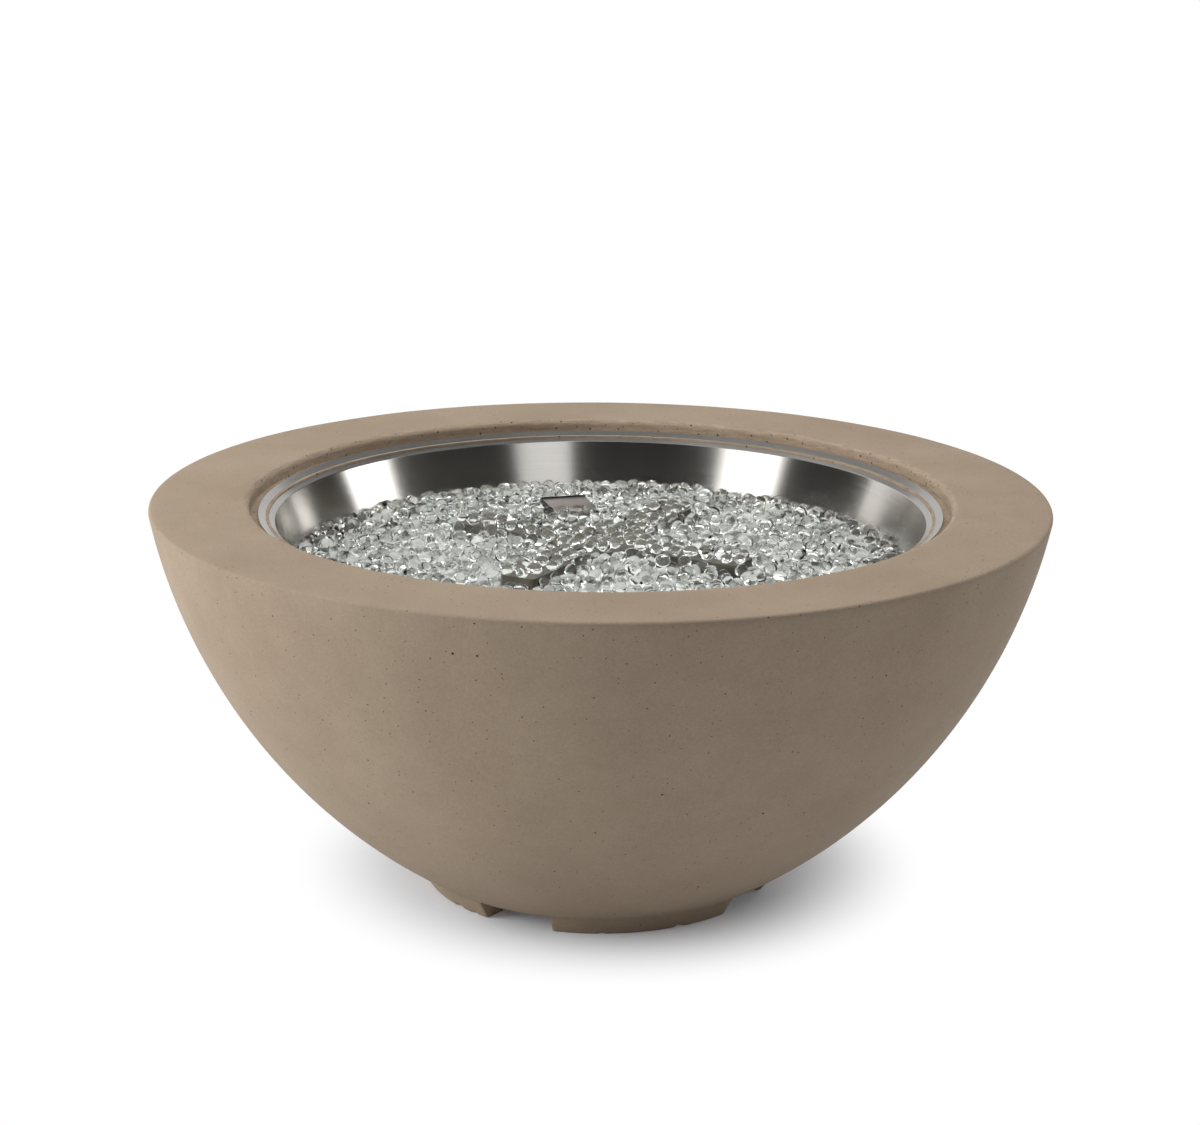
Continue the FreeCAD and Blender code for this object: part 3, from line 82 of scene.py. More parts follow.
def add(tree, kind, inputs=None, **settings):  # one node with its settings and links
    node = tree.nodes.new(kind)
    for name, value in settings.items():
        if name == "stops":
            ramp = node.color_ramp.elements
            ramp[0].position, ramp[0].color = value[0]
            ramp[1].position, ramp[1].color = value[-1]
            for place, colour in value[1:-1]:
                ramp.new(place).color = colour
        else:
            setattr(node, name, value)
    for name, value in (inputs or {}).items():
        if isinstance(value, bpy.types.NodeSocket):
            tree.links.new(value, node.inputs[name])
        else:
            node.inputs[name].default_value = value
    return node


def startMaterial(name):  # with its tree and the place of each point on the object
    made = bpy.data.materials.new(name)
    made.use_nodes = True
    tree = made.node_tree
    tree.nodes.clear()
    return made, tree, add(tree, "ShaderNodeTexCoord").outputs["Object"]


def finishMaterial(tree, shader):
    add(tree, "ShaderNodeOutputMaterial", {"Surface": shader.outputs[0]})


def surface(tree, inputs):
    finishMaterial(tree, add(tree, "ShaderNodeBsdfPrincipled", inputs))


def noiseOf(tree, place, size, detail=2, roughness=0.5):  # size in millimetres
    return add(tree, "ShaderNodeTexNoise", {
        "Vector": place, "Scale": 1000 / size, "Detail": detail, "Roughness": roughness}).outputs["Fac"]


def rangeOf(tree, value, low, high, start=0.3, end=0.7, **settings):  # start to end becomes low to high
    inputs = {"Value": value, "From Min": start, "From Max": end, "To Min": low, "To Max": high}
    return add(tree, "ShaderNodeMapRange", inputs, **settings).outputs[0]


def toneOf(tree, value, *stops):  # stops of a place and a hex value
    stops = [(place, linear(code)) for place, code in stops]
    return add(tree, "ShaderNodeValToRGB", {"Fac": value}, stops=stops).outputs["Color"]


def mathOf(tree, operation, *values):
    return add(tree, "ShaderNodeMath", dict(enumerate(values)), operation=operation).outputs[0]


def vectorOf(tree, operation, *values):
    return add(tree, "ShaderNodeVectorMath", dict(enumerate(values)), operation=operation).outputs


def shaded(tree, colour, factor):
    return add(tree, "ShaderNodeVectorMath", {0: colour, "Scale": factor}, operation="SCALE").outputs[0]


def bumpOf(tree, height, strength, distance):
    return add(tree, "ShaderNodeBump", {
        "Height": height, "Strength": strength, "Distance": distance}).outputs[0]


def around(radius, degrees):
    return radius * math.cos(math.radians(degrees)), radius * math.sin(math.radians(degrees))


def dressPiece(name, mesh, materials, smoothAngle=None):
    piece = bpy.data.objects.new(name, mesh)
    bpy.context.scene.collection.objects.link(piece)
    for material in materials:
        mesh.materials.append(material)
    if smoothAngle is not None:
        mesh.polygons.foreach_set("use_smooth", [True] * len(mesh.polygons))
        mesh.set_sharp_from_angle(angle=math.radians(smoothAngle))
    return piece


def meshPiece(name, vertices, faces, materials, smoothAngle=None):
    mesh = bpy.data.meshes.new(name)
    mesh.from_pydata(vertices, [], faces)
    mesh.update()
    return dressPiece(name, mesh, materials, smoothAngle)


def meshOf(name, build):  # the finished mesh of a bmesh
    mesh = bpy.data.meshes.new(name)
    build.to_mesh(mesh)
    build.free()
    return mesh


def meshOfCurve(curve):
    holder = bpy.data.objects.new(curve.name, curve)
    bpy.context.scene.collection.objects.link(holder)
    view = bpy.context.evaluated_depsgraph_get()
    mesh = bpy.data.meshes.new_from_object(holder.evaluated_get(view))
    bpy.data.objects.remove(holder, do_unlink=True)
    return mesh


def applyModifiers(piece):
    view = bpy.context.evaluated_depsgraph_get()
    mesh = bpy.data.meshes.new_from_object(piece.evaluated_get(view))
    piece.modifiers.clear()
    piece.data = mesh


# Materials

concreteLook = {
    "tone": "#9f8e7a",
    "paleTone": "#a4937f",
    "darkTone": "#998874",
    # painted shade: the dark inside of the pin holes
    "poreShadeTone": "#55463a",
    "poreShadeTones": ("#4d3f33", "#6f6052"),  # painted shade inside the open pores
    "cloudSize": 160,  # mm, soft patches left by the mould
    "mottleSize": 14,  # mm
    "mottleShade": (0.955, 1.04),
    "sandSize": 2.4,  # mm, coarser than real sand so that it shows
    "sandShade": (0.89, 1.06),
    "gritSize": 0.8,  # mm
    "poreSpacing": 7.5,  # mm
    "poreSize": 0.14,  # the largest pin hole, as a share of the spacing
    "recess": (0.4265, 0.4235, 0.458),  # m: where the wall round the pan, with its mould lines and painted light, starts, is full, lies above
    "recessLines": (45, 45, 620),  # lines a metre along X, Y and Z
    # painted light: this tone range for the mould lines sits above 1 on the whole, so the shaded recess
    # reads brighter
    "recessLinesAndLift": (1.17, 0.84),
    "recessPores": 0.08,  # added to the pin holes' size there
    "roughness": 0.72,
}


def castConcrete():
    # Glass-fibre concrete, cast face down in a mould and sealed: matt, cloudy in tone,
    # with fine sand and the pin holes that air bubbles leave, painted dark as the shade inside them.
    look = concreteLook
    made, tree, place = startMaterial("Cast concrete, taupe")
    cloud = noiseOf(tree, place, look["cloudSize"], 5, 0.6)
    mottle = noiseOf(tree, place, look["mottleSize"], 4, 0.65)
    sand = noiseOf(tree, place, look["sandSize"])
    tone = toneOf(tree, cloud, (0.32, look["darkTone"]), (0.5, look["tone"]), (0.68, look["paleTone"]))
    mottled = rangeOf(tree, mottle, *look["mottleShade"])
    sanded = rangeOf(tree, sand, *look["sandShade"], 0.3, 0.75)
    # The wall round the pan keeps the lines of the mould's edge; its tone there is also lifted, as painted
    # light against the shade that falls in the recess.
    start, full, lowest = look["recess"]
    radius = vectorOf(tree, "LENGTH", vectorOf(tree, "MULTIPLY", place, (1, 1, 0))[0])["Value"]
    height = add(tree, "ShaderNodeSeparateXYZ", {"Vector": place}).outputs["Z"]
    above = mathOf(tree, "GREATER_THAN", height, lowest)
    inRecess = mathOf(tree, "MULTIPLY", rangeOf(tree, radius, 0, 1, start, full), above)
    stretched = vectorOf(tree, "MULTIPLY", place, look["recessLines"])[0]
    ledges = noiseOf(tree, stretched, 1000, 4, 0.7)
    ledge = rangeOf(tree, ledges, *look["recessLinesAndLift"], 0.4, 0.66)
    # painted light: inside the recess the tone is scaled by the lifted mould lines
    linedAndLifted = add(tree, "ShaderNodeMix", {0: inRecess, 2: 1.0, 3: ledge}).outputs[0]
    shade = mathOf(tree, "MULTIPLY", mathOf(tree, "MULTIPLY", mottled, sanded), linedAndLifted)
    toned = shaded(tree, tone, shade)
    # Pin holes: one in some cells of the pattern, each with its own radius, sunk by bump and painted dark as
    # the shade inside them.
    cells = add(tree, "ShaderNodeTexVoronoi", {
        "Vector": place, "Scale": 1000 / look["poreSpacing"]}, feature="F1").outputs
    luck = add(tree, "ShaderNodeSeparateColor", {"Color": cells["Color"]}).outputs[0]
    size = rangeOf(tree, luck, 0, look["poreSize"], 0.2, 1)
    size = mathOf(tree, "MULTIPLY_ADD", inRecess, look["recessPores"], size)
    inside = mathOf(tree, "SUBTRACT", size, cells["Distance"])
    pores = rangeOf(tree, inside, 0, 1, -0.012, 0.02)
    colour = add(tree, "ShaderNodeMix", {
        0: pores, 6: toned, 7: linear(look["poreShadeTone"])}, data_type="RGBA").outputs[2]
    relief = mathOf(tree, "MULTIPLY_ADD", sand, 0.35, mottle)
    relief = mathOf(tree, "MULTIPLY_ADD", pores, -3.0, relief)
    relief = mathOf(tree, "MULTIPLY_ADD", linedAndLifted, 1.2, relief)
    surface(tree, {
        "Base Color": colour, "IOR": 1.5, "Specular IOR Level": 0.3,
        "Roughness": rangeOf(tree, mottle, look["roughness"] - 0.07, look["roughness"] + 0.08),
        "Normal": bumpOf(tree, relief, 0.35, 0.0006)})
    return made


def poreShadeConcrete():
    # The inside of a larger air hole: rougher than the sealed face, and darker as painted shade in the
    # hollow.
    made, tree, place = startMaterial("Cast concrete, shaded inside of a pore")
    grit = noiseOf(tree, place, concreteLook["gritSize"])
    dark, pale = concreteLook["poreShadeTones"]
    surface(tree, {
        "Base Color": toneOf(tree, grit, (0.35, dark), (0.65, pale)), "Roughness": 0.9,
        "Normal": bumpOf(tree, grit, 0.5, 0.0003)})
    return made


steelLook = {
    "grain": 1.3,  # mm between hairlines
    "alongTurned": 1.6,  # hairlines a radian round the axis
    "alongSheet": 12,  # hairlines a metre along X
    "patchSize": 90,  # mm, where the brush bore harder
    "patchRoughness": 0.06,
    "hairRoughness": (-0.015, 0.01),
    "hairShade": (0.95, 1.03),
}


def brushedSteel(name, tone, roughness, turned=True, streakDepth=0.000003, anisotropy=0.9):
    # Stainless sheet brushed with a fine abrasive: long hairlines that follow the brush, round
    # the axis on the spun pan and along X on flat sheet, and reflections smeared across them.
    look = steelLook
    made, tree, place = startMaterial(name)
    axes = add(tree, "ShaderNodeSeparateXYZ", {"Vector": place}).outputs
    fine = 1000 / look["grain"]
    if turned:
        flat = add(tree, "ShaderNodeCombineXYZ", {"X": axes["X"], "Y": axes["Y"], "Z": 0})
        angle = mathOf(tree, "ARCTAN2", axes["Y"], axes["X"])
        along = mathOf(tree, "MULTIPLY", angle, look["alongTurned"])
        across = mathOf(tree, "MULTIPLY", vectorOf(tree, "LENGTH", flat.outputs[0])["Value"], fine)
    else:
        along = mathOf(tree, "MULTIPLY", axes["X"], look["alongSheet"])
        across = mathOf(tree, "MULTIPLY", axes["Y"], fine)
    lines = add(tree, "ShaderNodeCombineXYZ", {
        "X": along, "Y": across, "Z": mathOf(tree, "MULTIPLY", axes["Z"], fine)}).outputs[0]
    hair = noiseOf(tree, lines, 1000, 3, 0.6)
    patches = noiseOf(tree, place, look["patchSize"], 3)
    rough = rangeOf(tree, hair, *(roughness + step for step in look["hairRoughness"]))
    inputs = {
        "Base Color": shaded(tree, linear(tone)[:3], rangeOf(tree, hair, *look["hairShade"])),
        "Metallic": 1.0, "Anisotropic": anisotropy,
        "Roughness": mathOf(tree, "MULTIPLY_ADD", patches, look["patchRoughness"], rough),
        "Normal": bumpOf(tree, hair, 0.5, streakDepth)}
    if turned:  # the hairlines run round the axis
        inputs["Anisotropic Rotation"] = 0.25
        inputs["Tangent"] = add(tree, "ShaderNodeTangent", direction_type="RADIAL", axis="Z").outputs[0]
    surface(tree, inputs)
    return made


def plainMetal(name, low, high, roughness, grain, depth=0.00006):
    # Turned, pressed or cast fittings: an even metal sheen broken by tool marks and handling.
    made, tree, place = startMaterial(name)
    wear = noiseOf(tree, place, grain * 12, 4, 0.6)
    surface(tree, {
        "Base Color": toneOf(tree, wear, (0.3, low), (0.7, high)), "Metallic": 1.0,
        "Roughness": rangeOf(tree, wear, roughness + 0.08, roughness - 0.05),
        "Normal": bumpOf(tree, noiseOf(tree, place, grain), 0.4, depth)})
    return made


def moulded(name, low, high, roughness, grain, ior=1.5):
    # Moulded plastic, rubber, glazed ceramic or a dull burnt crust: one colour, finely grained.
    made, tree, place = startMaterial(name)
    wide = noiseOf(tree, place, grain * 25, 3)
    surface(tree, {
        "Base Color": toneOf(tree, wide, (0.3, low), (0.7, high)),
        "Roughness": rangeOf(tree, wide, roughness - 0.05, roughness + 0.07),
        "IOR": ior, "Specular IOR Level": 0.5,
        "Normal": bumpOf(tree, noiseOf(tree, place, grain), 0.4, 0.00008)})
    return made


def paint(name, size, detail, roughness, *stops):
    # A thin coat of enamel: flat in tone, slightly worn where fingers pass.
    made, tree, place = startMaterial(name)
    worn = noiseOf(tree, place, size, detail)
    surface(tree, {"Base Color": toneOf(tree, worn, *stops), "Roughness": roughness})
    return made


def clearGlass(name, tone, roughness, transmission=1.0):
    # Tumbled soda-lime glass: clear with a faint grey-green body, fire-polished so that each
    # bead has a dark outline, a bright lower edge and a few small highlights.
    made, tree, place = startMaterial(name)
    colour = add(tree, "ShaderNodeMix", {
        0: noiseOf(tree, place, 22, 1), 6: linear(tone), 7: grey(1)}, data_type="RGBA").outputs[2]
    surface(tree, {
        "Base Color": colour, "Roughness": roughness, "IOR": 1.5, "Transmission Weight": transmission,
        "Normal": bumpOf(tree, noiseOf(tree, place, 9, 1), 0.12, 0.0006)})
    return made


concrete = castConcrete()
pore = poreShadeConcrete()
panSteel = brushedSteel("Brushed stainless steel, spun", "#d6d3ce", 0.2, streakDepth=0.000002)
sheetSteel = brushedSteel("Brushed stainless steel, sheet", "#c4beb9", 0.26, turned=False, anisotropy=0.0)
hoodSteel = brushedSteel(
    "Brushed stainless steel, heat-dulled", "#d2c8c0", 0.34, turned=False, anisotropy=0.0)
# near-black as painted shade: the bracket stands for the dark gap behind the pilot hood and the shaded
# opening at its left
gapShadeSteel = plainMetal("Black steel sheet, painted gap shade", "#2b2927", "#3f3c38", 0.45, 1.2)
burnerSteel = moulded("Burner steel, dulled by heat and soot", "#57554a", "#716e62", 0.6, 1.4)
glassTop = clearGlass("Tumbled glass, clear", "#f2f5f0", 0.05)
glassDeep = clearGlass("Tumbled glass, clouded by dust", "#eef0e9", 0.15, 0.3)
ink = paint("Screen-printed ink", 3, 4, 0.55, (0.4, "#1c1c1d"), (0.75, "#3a3a3b"))
lineFill = paint("Filled engraving, white", 2, 3, 0.5, (0.3, "#c9c7c0"), (0.7, "#efeee9"))
slotLooks = {  # the record's slots and what they are made of
    "cast_concrete": concrete,
    "brushed_stainless": sheetSteel,
    "dark_steel": plainMetal("Heat-tinted steel, rolled", "#4a4944", "#68665f", 0.42, 1.2),
    "zinc_steel": plainMetal("Zinc-plated steel", "#a9acae", "#c6c8c9", 0.33, 0.9),
    "die_cast_aluminium": plainMetal("Die-cast aluminium", "#96979a", "#b2b3b5", 0.46, 1.1, 0.00012),
    "brass": plainMetal("Turned brass", "#b08d4e", "#c9a765", 0.3, 0.7),
    "copper": plainMetal("Drawn copper tube", "#a5664a", "#c98a68", 0.32, 0.8),
    "white_ceramic": moulded("Glazed alumina ceramic", "#dcd8ce", "#eceae3", 0.28, 1.5, ior=1.6),
    "black_plastic": moulded("Moulded black nylon", "#191a1b", "#26272a", 0.48, 0.9),
    "battery_sleeve": moulded("Printed battery sleeve, plain", "#2b3b52", "#34475f", 0.35, 1.4),
    "hose_cover": moulded("Extruded black rubber", "#1b1b1c", "#2a2a2b", 0.62, 1.0),
    "lead_cover": moulded("Silicone lead cover", "#7c2f26", "#8c3a2f", 0.5, 0.9),
}
nodeLooks = {"burner_pan": panSteel, "burner_top_shell": burnerSteel, "burner_base_plate": burnerSteel}
for name, node in nodes.items():
    for place in node.material_slots:
        base = place.material.name.split(".")[0]
        if name in nodeLooks or base in slotLooks:
            place.material = nodeLooks.get(name) or slotLooks[base]
        elif base != "clear_glass":
            print("no look for", name, place.material.name)
print("materials made:", len(bpy.data.materials))


# Bowl

bowl = {  # millimetres, from the record's own sizes
    "start": (75, 25),
    "side": (-127.48, 600.912),  # the centre of the side's arcs
    "profile": [  # up the inside, over the rim, down the side: end, steps, an arc's centre, radius
        ((75, 49), 2), ((219.7, 49), 12), ((491.2, 395), 30, "side", 652), ((396, 436), 6), ((396, 461), 3),
        ((417.4, 461), 4), ((419, 462.6), 3, (417.4, 462.6), 1.6), ((419, 467), 1), ((419, 471), 1),
        ((426, 478), 6, (426, 471), 7), ((532.5, 478), 12), ((536.5, 474), 5, (532.5, 474), 4),
        ((226.5, 25), 76, "side", 676)],
    "foot": [(222.6, 18.6), (219, 12.4), (215.4, 6), (212, 0), (205, 0), (197, 0), (189, 0), (182, 0),
             (182, 6), (182, 12.5), (182, 19)],
    "underside": [((75, 25), 8)],
    "footInside": (182, 25),
    "columns": 1.0,  # degrees a column
    "notches": (30, 53.3),  # degrees either side of front and back
    "notchColumn": 1.6,  # degrees, the narrow column at a notch's edge
    "footEdge": 2.6,  # rounding of the foot's edges
    "wobble": 0.5,  # the mould's unevenness, in waves and ripples of these lengths
    "wave": 110,
    "ripple": 38,
    "poreCount": 380,
    "poreRadius": (0.5, 1.5),
    "poreRings": ((1, 0), (0.8, 0.75), (0.45, 1.15)),  # width and depth down into a pore
    "chips": [  # angle, radius, level, size, depth
        (-78.5, 212, 0, 7, 3.2), (-72, 182, 0, 6, 2.5), (-156.4, 212, 0, 7.5, 3.5), (-149, 213, 2, 5, 2.2),
        (-104, 212, 0, 4, 1.6), (-35, 212, 0, 5.5, 2.4), (12, 212, 0, 6, 2.6), (96, 212, 0, 7, 3),
        (140, 212, 0, 5, 2)],
    "sharp": 32,  # degrees, the least angle that stays an edge
    "seed": 41,
}


def profileRows(spot, runs):  # the points along straight and round runs, the first left out
    rows = []
    for end, steps, *arc in runs:
        if arc:
            centre, radius = bowl.get(arc[0], arc[0]), arc[1]
            first, last = (math.atan2(p[1] - centre[1], p[0] - centre[0]) for p in (spot, end))
            turns = [first + (last - first) * i / steps for i in range(1, steps + 1)]
            rows += [(centre[0] + radius * math.cos(a), centre[1] + radius * math.sin(a)) for a in turns]
        else:
            rows += [tuple(a + (b - a) * i / steps for a, b in zip(spot, end)) for i in range(1, steps + 1)]
        spot = end
    return rows


def columnAngles():
    near, far = bowl["notches"]
    narrow = bowl["notchColumn"]
    edges = sorted((middle + step) % 360 for middle in (-90, 90) for step in (-far, -near, near, far))
    angles, inFoot = [], []
    for first, last in zip(edges, edges[1:] + [edges[0] + 360]):
        middle = ((first + last) / 2 - 90) % 180
        middle = min(middle, 180 - middle)
        wide = last - first - 2 * narrow
        count = round(wide / bowl["columns"])
        steps = [first + narrow + wide * i / count for i in range(1, count)]
        steps = [first, first + narrow, *steps, last - narrow]
        angles += steps
        inFoot += [not near < middle < far] * len(steps)
    return [math.radians(a) for a in angles], inFoot


def unevenMould(build):  # slight and never outwards
    wobble, wave, ripple = bowl["wobble"], bowl["wave"], bowl["ripple"]
    for vert in build.verts:
        co = vert.co
        radius = co.xy.length
        outwards = Vector((co.x, co.y, 0)).normalized()
        swell = 0.5 + 0.5 * noise.noise(co / wave)
        if radius > 226 and (co.z > 470 or radius > 430):
            uneven = swell + 0.25 * noise.noise(co / ripple)
            inward = outwards * -0.8 + Vector((0, 0, -0.6 if co.z > 477 else 0))
            vert.co = co + inward * max(0, uneven) * wobble
        elif 26 < co.z < 460 and radius > 240:
            vert.co = co - outwards * max(0, swell) * wobble * 0.6


def chipFoot(build):
    for angle, radius, level, size, depth in bowl["chips"]:
        spot = Vector((*around(radius, angle), level))
        into = Vector((-spot.x, -spot.y, 0)).normalized() * (1 if radius > 200 else -1) + Vector((0, 0, 1))
        for vert in build.verts:
            reach = (vert.co - spot).length + 1.6 * noise.noise(vert.co / 3)
            if reach < size:
                vert.co += into.normalized() * depth * (1 - reach / size) ** 0.6


def bowlMesh():
    angles, inFoot = columnAngles()
    count = len(angles)
    build = bmesh.new()

    def ring(point, footOnly=False):
        return [build.verts.new((point[0] * math.cos(a), point[0] * math.sin(a), point[1]))
                if inFoot[j] or inFoot[j - 1] or not footOnly else None for j, a in enumerate(angles)]

    def strip(rings, columns):
        for first, second in zip(rings, rings[1:]):
            for j in columns:
                k = (j + 1) % count
                build.faces.new((first[j], first[k], second[k], second[j]))

    mainRings = [ring(p) for p in [bowl["start"]] + profileRows(bowl["start"], bowl["profile"])]
    underside = [bowl["footInside"]] + profileRows(bowl["footInside"], bowl["underside"])[:-1]
    underRings = [ring(p) for p in underside]
    footChain = [mainRings[-1]] + [ring(p, footOnly=True) for p in bowl["foot"]] + [underRings[0]]
    strip(mainRings, range(count))
    strip(underRings + [mainRings[0]], range(count))
    for j in range(count):
        strip(footChain if inFoot[j] else [mainRings[-1], underRings[0]], [j])
        if inFoot[j] != inFoot[j - 1]:
            build.faces.new([r[j] for r in footChain])
    bmesh.ops.recalc_face_normals(build, faces=build.faces)
    build.edges.ensure_lookup_table()
    corners = [e for e in build.edges if len(e.link_faces) == 2 and e.calc_face_angle(0) > math.radians(45)
               and all(v.co.z < 25.5 and 170 < v.co.xy.length < 230 for v in e.verts)]
    bmesh.ops.bevel(build, geom=corners, offset=bowl["footEdge"], segments=2, profile=0.5,
                    affect="EDGES", clamp_overlap=True)
    unevenMould(build)
    chipFoot(build)
    bmesh.ops.scale(build, vec=(mm, mm, mm), verts=build.verts)
    return meshOf("fire_bowl_cast", build)


panel = {  # the control panel's own frame, in millimetres
    "origin": Vector((0, 477.853, 300)),
    "right": Vector((-1, 0, 0)),
    "up": Vector((0, 0.445135, 0.895463)),
    "out": Vector((0, 0.895463, -0.445135)),
    "recess": (162, 98, 7, -10.5, 40),  # width, height, corner, from and to along out
    "opening": (124, 64, 6, -80, 5),
    "screws": [(-72, -40), (72, -40), (72, 40), (-72, 40)],
    "screwHole": (4, -22.5, -9),  # radius, from and to along out
}


def onPanel(x, y, z):
    return (panel["origin"] + panel["right"] * x + panel["up"] * y + panel["out"] * z) * mm


def prism(outline, low, high):  # on the panel's frame
    count = len(outline)
    vertices = [onPanel(x, y, level) for level in (low, high) for x, y in outline]
    faces = [tuple(range(count))[::-1], tuple(range(count, 2 * count))]
    faces += [(i, (i + 1) % count, (i + 1) % count + count, i + count) for i in range(count)]
    return vertices, faces


def roundedBox(width, height, corner, low, high):
    outline = []
    for sx, sy, turn in ((1, 1, 0), (-1, 1, 90), (-1, -1, 180), (1, -1, 270)):
        for i in range(5):
            x, y = around(corner, turn + 22.5 * i)
            outline.append((sx * (width / 2 - corner) + x, sy * (height / 2 - corner) + y))
    return prism(outline, low, high)


def circle(x, y, radius, count=20):
    turns = [2 * math.pi * i / count for i in range(count)]
    return [(x + radius * math.cos(a), y + radius * math.sin(a)) for a in turns]


def cutBowl(piece):
    radius, low, high = panel["screwHole"]
    cutters = [roundedBox(*panel["recess"]), roundedBox(*panel["opening"])]
    cutters += [prism(circle(x, y, radius), low, high) for x, y in panel["screws"]]
    for vertices, faces in cutters:
        mesh = bpy.data.meshes.new("cutter")
        mesh.from_pydata([tuple(v) for v in vertices], [], faces)
        shape = bmesh.new()
        shape.from_mesh(mesh)
        bmesh.ops.recalc_face_normals(shape, faces=shape.faces)
        tool = dressPiece("cutter", meshOf("cutter", shape), [])
        cut = piece.modifiers.new("cut", "BOOLEAN")
        cut.operation, cut.solver, cut.object = "DIFFERENCE", "EXACT", tool
        applyModifiers(piece)
        bpy.data.objects.remove(tool, do_unlink=True)


def poreFaces(build):  # the faces of the side and rim that can take a pore
    fit = []
    for face in build.faces:
        middle = face.calc_center_median() / mm
        radius = middle.xy.length
        if len(face.verts) != 4 or face.normal.z < -0.97 or middle.z < 30:
            continue
        onSide = radius > max(240, 230 + (middle.z - 25) * 0.5) and face.normal.xy.dot(middle.xy) > 0
        onRim = 432 < radius < 528 and middle.z > 476.5
        nearPanel = middle.y > 400 and abs(middle.x) < 95 and middle.z < 370
        shortest = min(e.calc_length() for e in face.edges) / mm
        if (onSide or onRim) and not nearPanel and shortest > 4:
            fit.append((face, shortest, onRim))
    return fit


def openPore(build, luck, face, shortest):
    low, high = bowl["poreRadius"]
    radius = min(low + (high - low) * luck.random() ** 3.2, shortest * 0.36) * mm
    phase = luck.uniform(0, 6)
    middle = face.calc_center_median()
    normal = face.normal.copy()
    right = (face.verts[0].co - middle).normalized()
    up = normal.cross(right)
    shift = (right * luck.uniform(-0.4, 0.4) + up * luck.uniform(-0.4, 0.4)) * (shortest * mm * 0.4 - radius)
    squeeze = luck.uniform(0.75, 1)
    rings = []
    for scale, depth in bowl["poreRings"]:
        ring = []
        for i in range(8):
            a = math.pi / 4 * i
            wavy = radius * scale * (1 + 0.12 * math.sin(3 * a + phase))
            sideways = right * math.cos(a) * wavy + up * math.sin(a) * wavy * squeeze
            ring.append(build.verts.new(middle + shift + sideways - normal * radius * depth))
        rings.append(ring)
    outer, ring = list(face.verts), rings[0]
    build.faces.remove(face)
    for i in range(4):
        corners = (outer[i], outer[(i + 1) % 4], ring[(2 * i + 2) % 8], ring[(2 * i + 1) % 8], ring[2 * i])
        build.faces.new(corners).smooth = True
    for first, second in zip(rings, rings[1:]):
        for i in range(8):
            new = build.faces.new((first[i], first[(i + 1) % 8], second[(i + 1) % 8], second[i]))
            # painted shade: the pit's walls and floor take the darker pore material
            new.material_index = 1
            new.smooth = True
    build.faces.new(rings[-1]).material_index = 1
    for i in range(8):
        build.edges.get((ring[i], ring[(i + 1) % 8])).smooth = False


def openPores(mesh):  # real pits in the cast face, each inside one face of the mesh
    luck = np.random.default_rng(bowl["seed"])
    build = bmesh.new()
    build.from_mesh(mesh)
    build.faces.ensure_lookup_table()
    fit = poreFaces(build)
    made = 0
    for pick in luck.permutation(len(fit)):
        face, shortest, onRim = fit[pick]
        if made >= bowl["poreCount"] or (onRim and luck.random() > 0.45):
            continue
        openPore(build, luck, face, shortest)
        made += 1
    build.to_mesh(mesh)
    build.free()
    print("open pores:", made)


bowlPiece = dressPiece("fire_bowl_cast", bowlMesh(), [concrete, pore], bowl["sharp"])
cutBowl(bowlPiece)
bowlPiece.data.set_sharp_from_angle(angle=math.radians(bowl["sharp"]))
openPores(bowlPiece.data)
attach(bowlPiece, "bowl")
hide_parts("fire_bowl")
print("bowl made:", len(bowlPiece.data.polygons), "faces")


# Pan

pan = {  # millimetres, from the record's own sizes: radius, height, rounding of each corner
    "profile": [
        (359, 384.78, 0), (372.5, 384.78, 11.2), (384.9, 458.8, 5.8), (408.15, 464.8, 0), (408.15, 461, 0),
        (409.35, 461, 0), (409.35, 466, 1.2), (383.7, 460, 7), (371.3, 386.02, 10), (359, 386.02, 0)],
    "flatFloor": 361.5,  # the solid's drilled floor is kept up to this radius
    "columns": 512,
    "arcSteps": 8,
}


def roundedProfile(corners, steps):
    points = []
    for i, (x, z, size) in enumerate(corners):
        spot = Vector((x, z))
        if not size:
            points.append(spot)
            continue
        back = (Vector(corners[i - 1][:2]) - spot).normalized()
        ahead = (Vector(corners[i + 1][:2]) - spot).normalized()
        half = back.angle(ahead) / 2
        centre = spot + (back + ahead).normalized() * size / math.sin(half)
        first = spot + back * size / math.tan(half) - centre
        last = spot + ahead * size / math.tan(half) - centre
        points += [centre + first.slerp(last, k / steps) for k in range(steps + 1)]
    return points


def makePan():  # the spun wall and flange, finer than the solid's facets
    node = nodes["burner_pan"]
    build = bmesh.new()
    build.from_mesh(node.data)
    bmesh.ops.transform(build, matrix=node.matrix_world, verts=build.verts)
    spun = [f for f in build.faces if any(v.co.xy.length > pan["flatFloor"] * mm for v in f.verts)]
    bmesh.ops.delete(build, geom=spun, context="FACES")
    count = pan["columns"]
    turns = [(math.cos(2 * math.pi * k / count), math.sin(2 * math.pi * k / count)) for k in range(count)]
    rings = []
    for radius, height in roundedProfile(pan["profile"], pan["arcSteps"]):
        rings.append([build.verts.new((radius * mm * x, radius * mm * y, height * mm)) for x, y in turns])
    for first, second in zip(rings, rings[1:]):
        for k in range(count):
            build.faces.new((first[k - 1], first[k], second[k], second[k - 1]))
    piece = dressPiece("burner_pan_spun", meshOf("burner_pan_spun", build), [panSteel], 32)
    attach(piece, "pan_assembly")
    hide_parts("burner_pan")
    print("pan made:", len(piece.data.polygons), "faces")


makePan()


# Glass bed

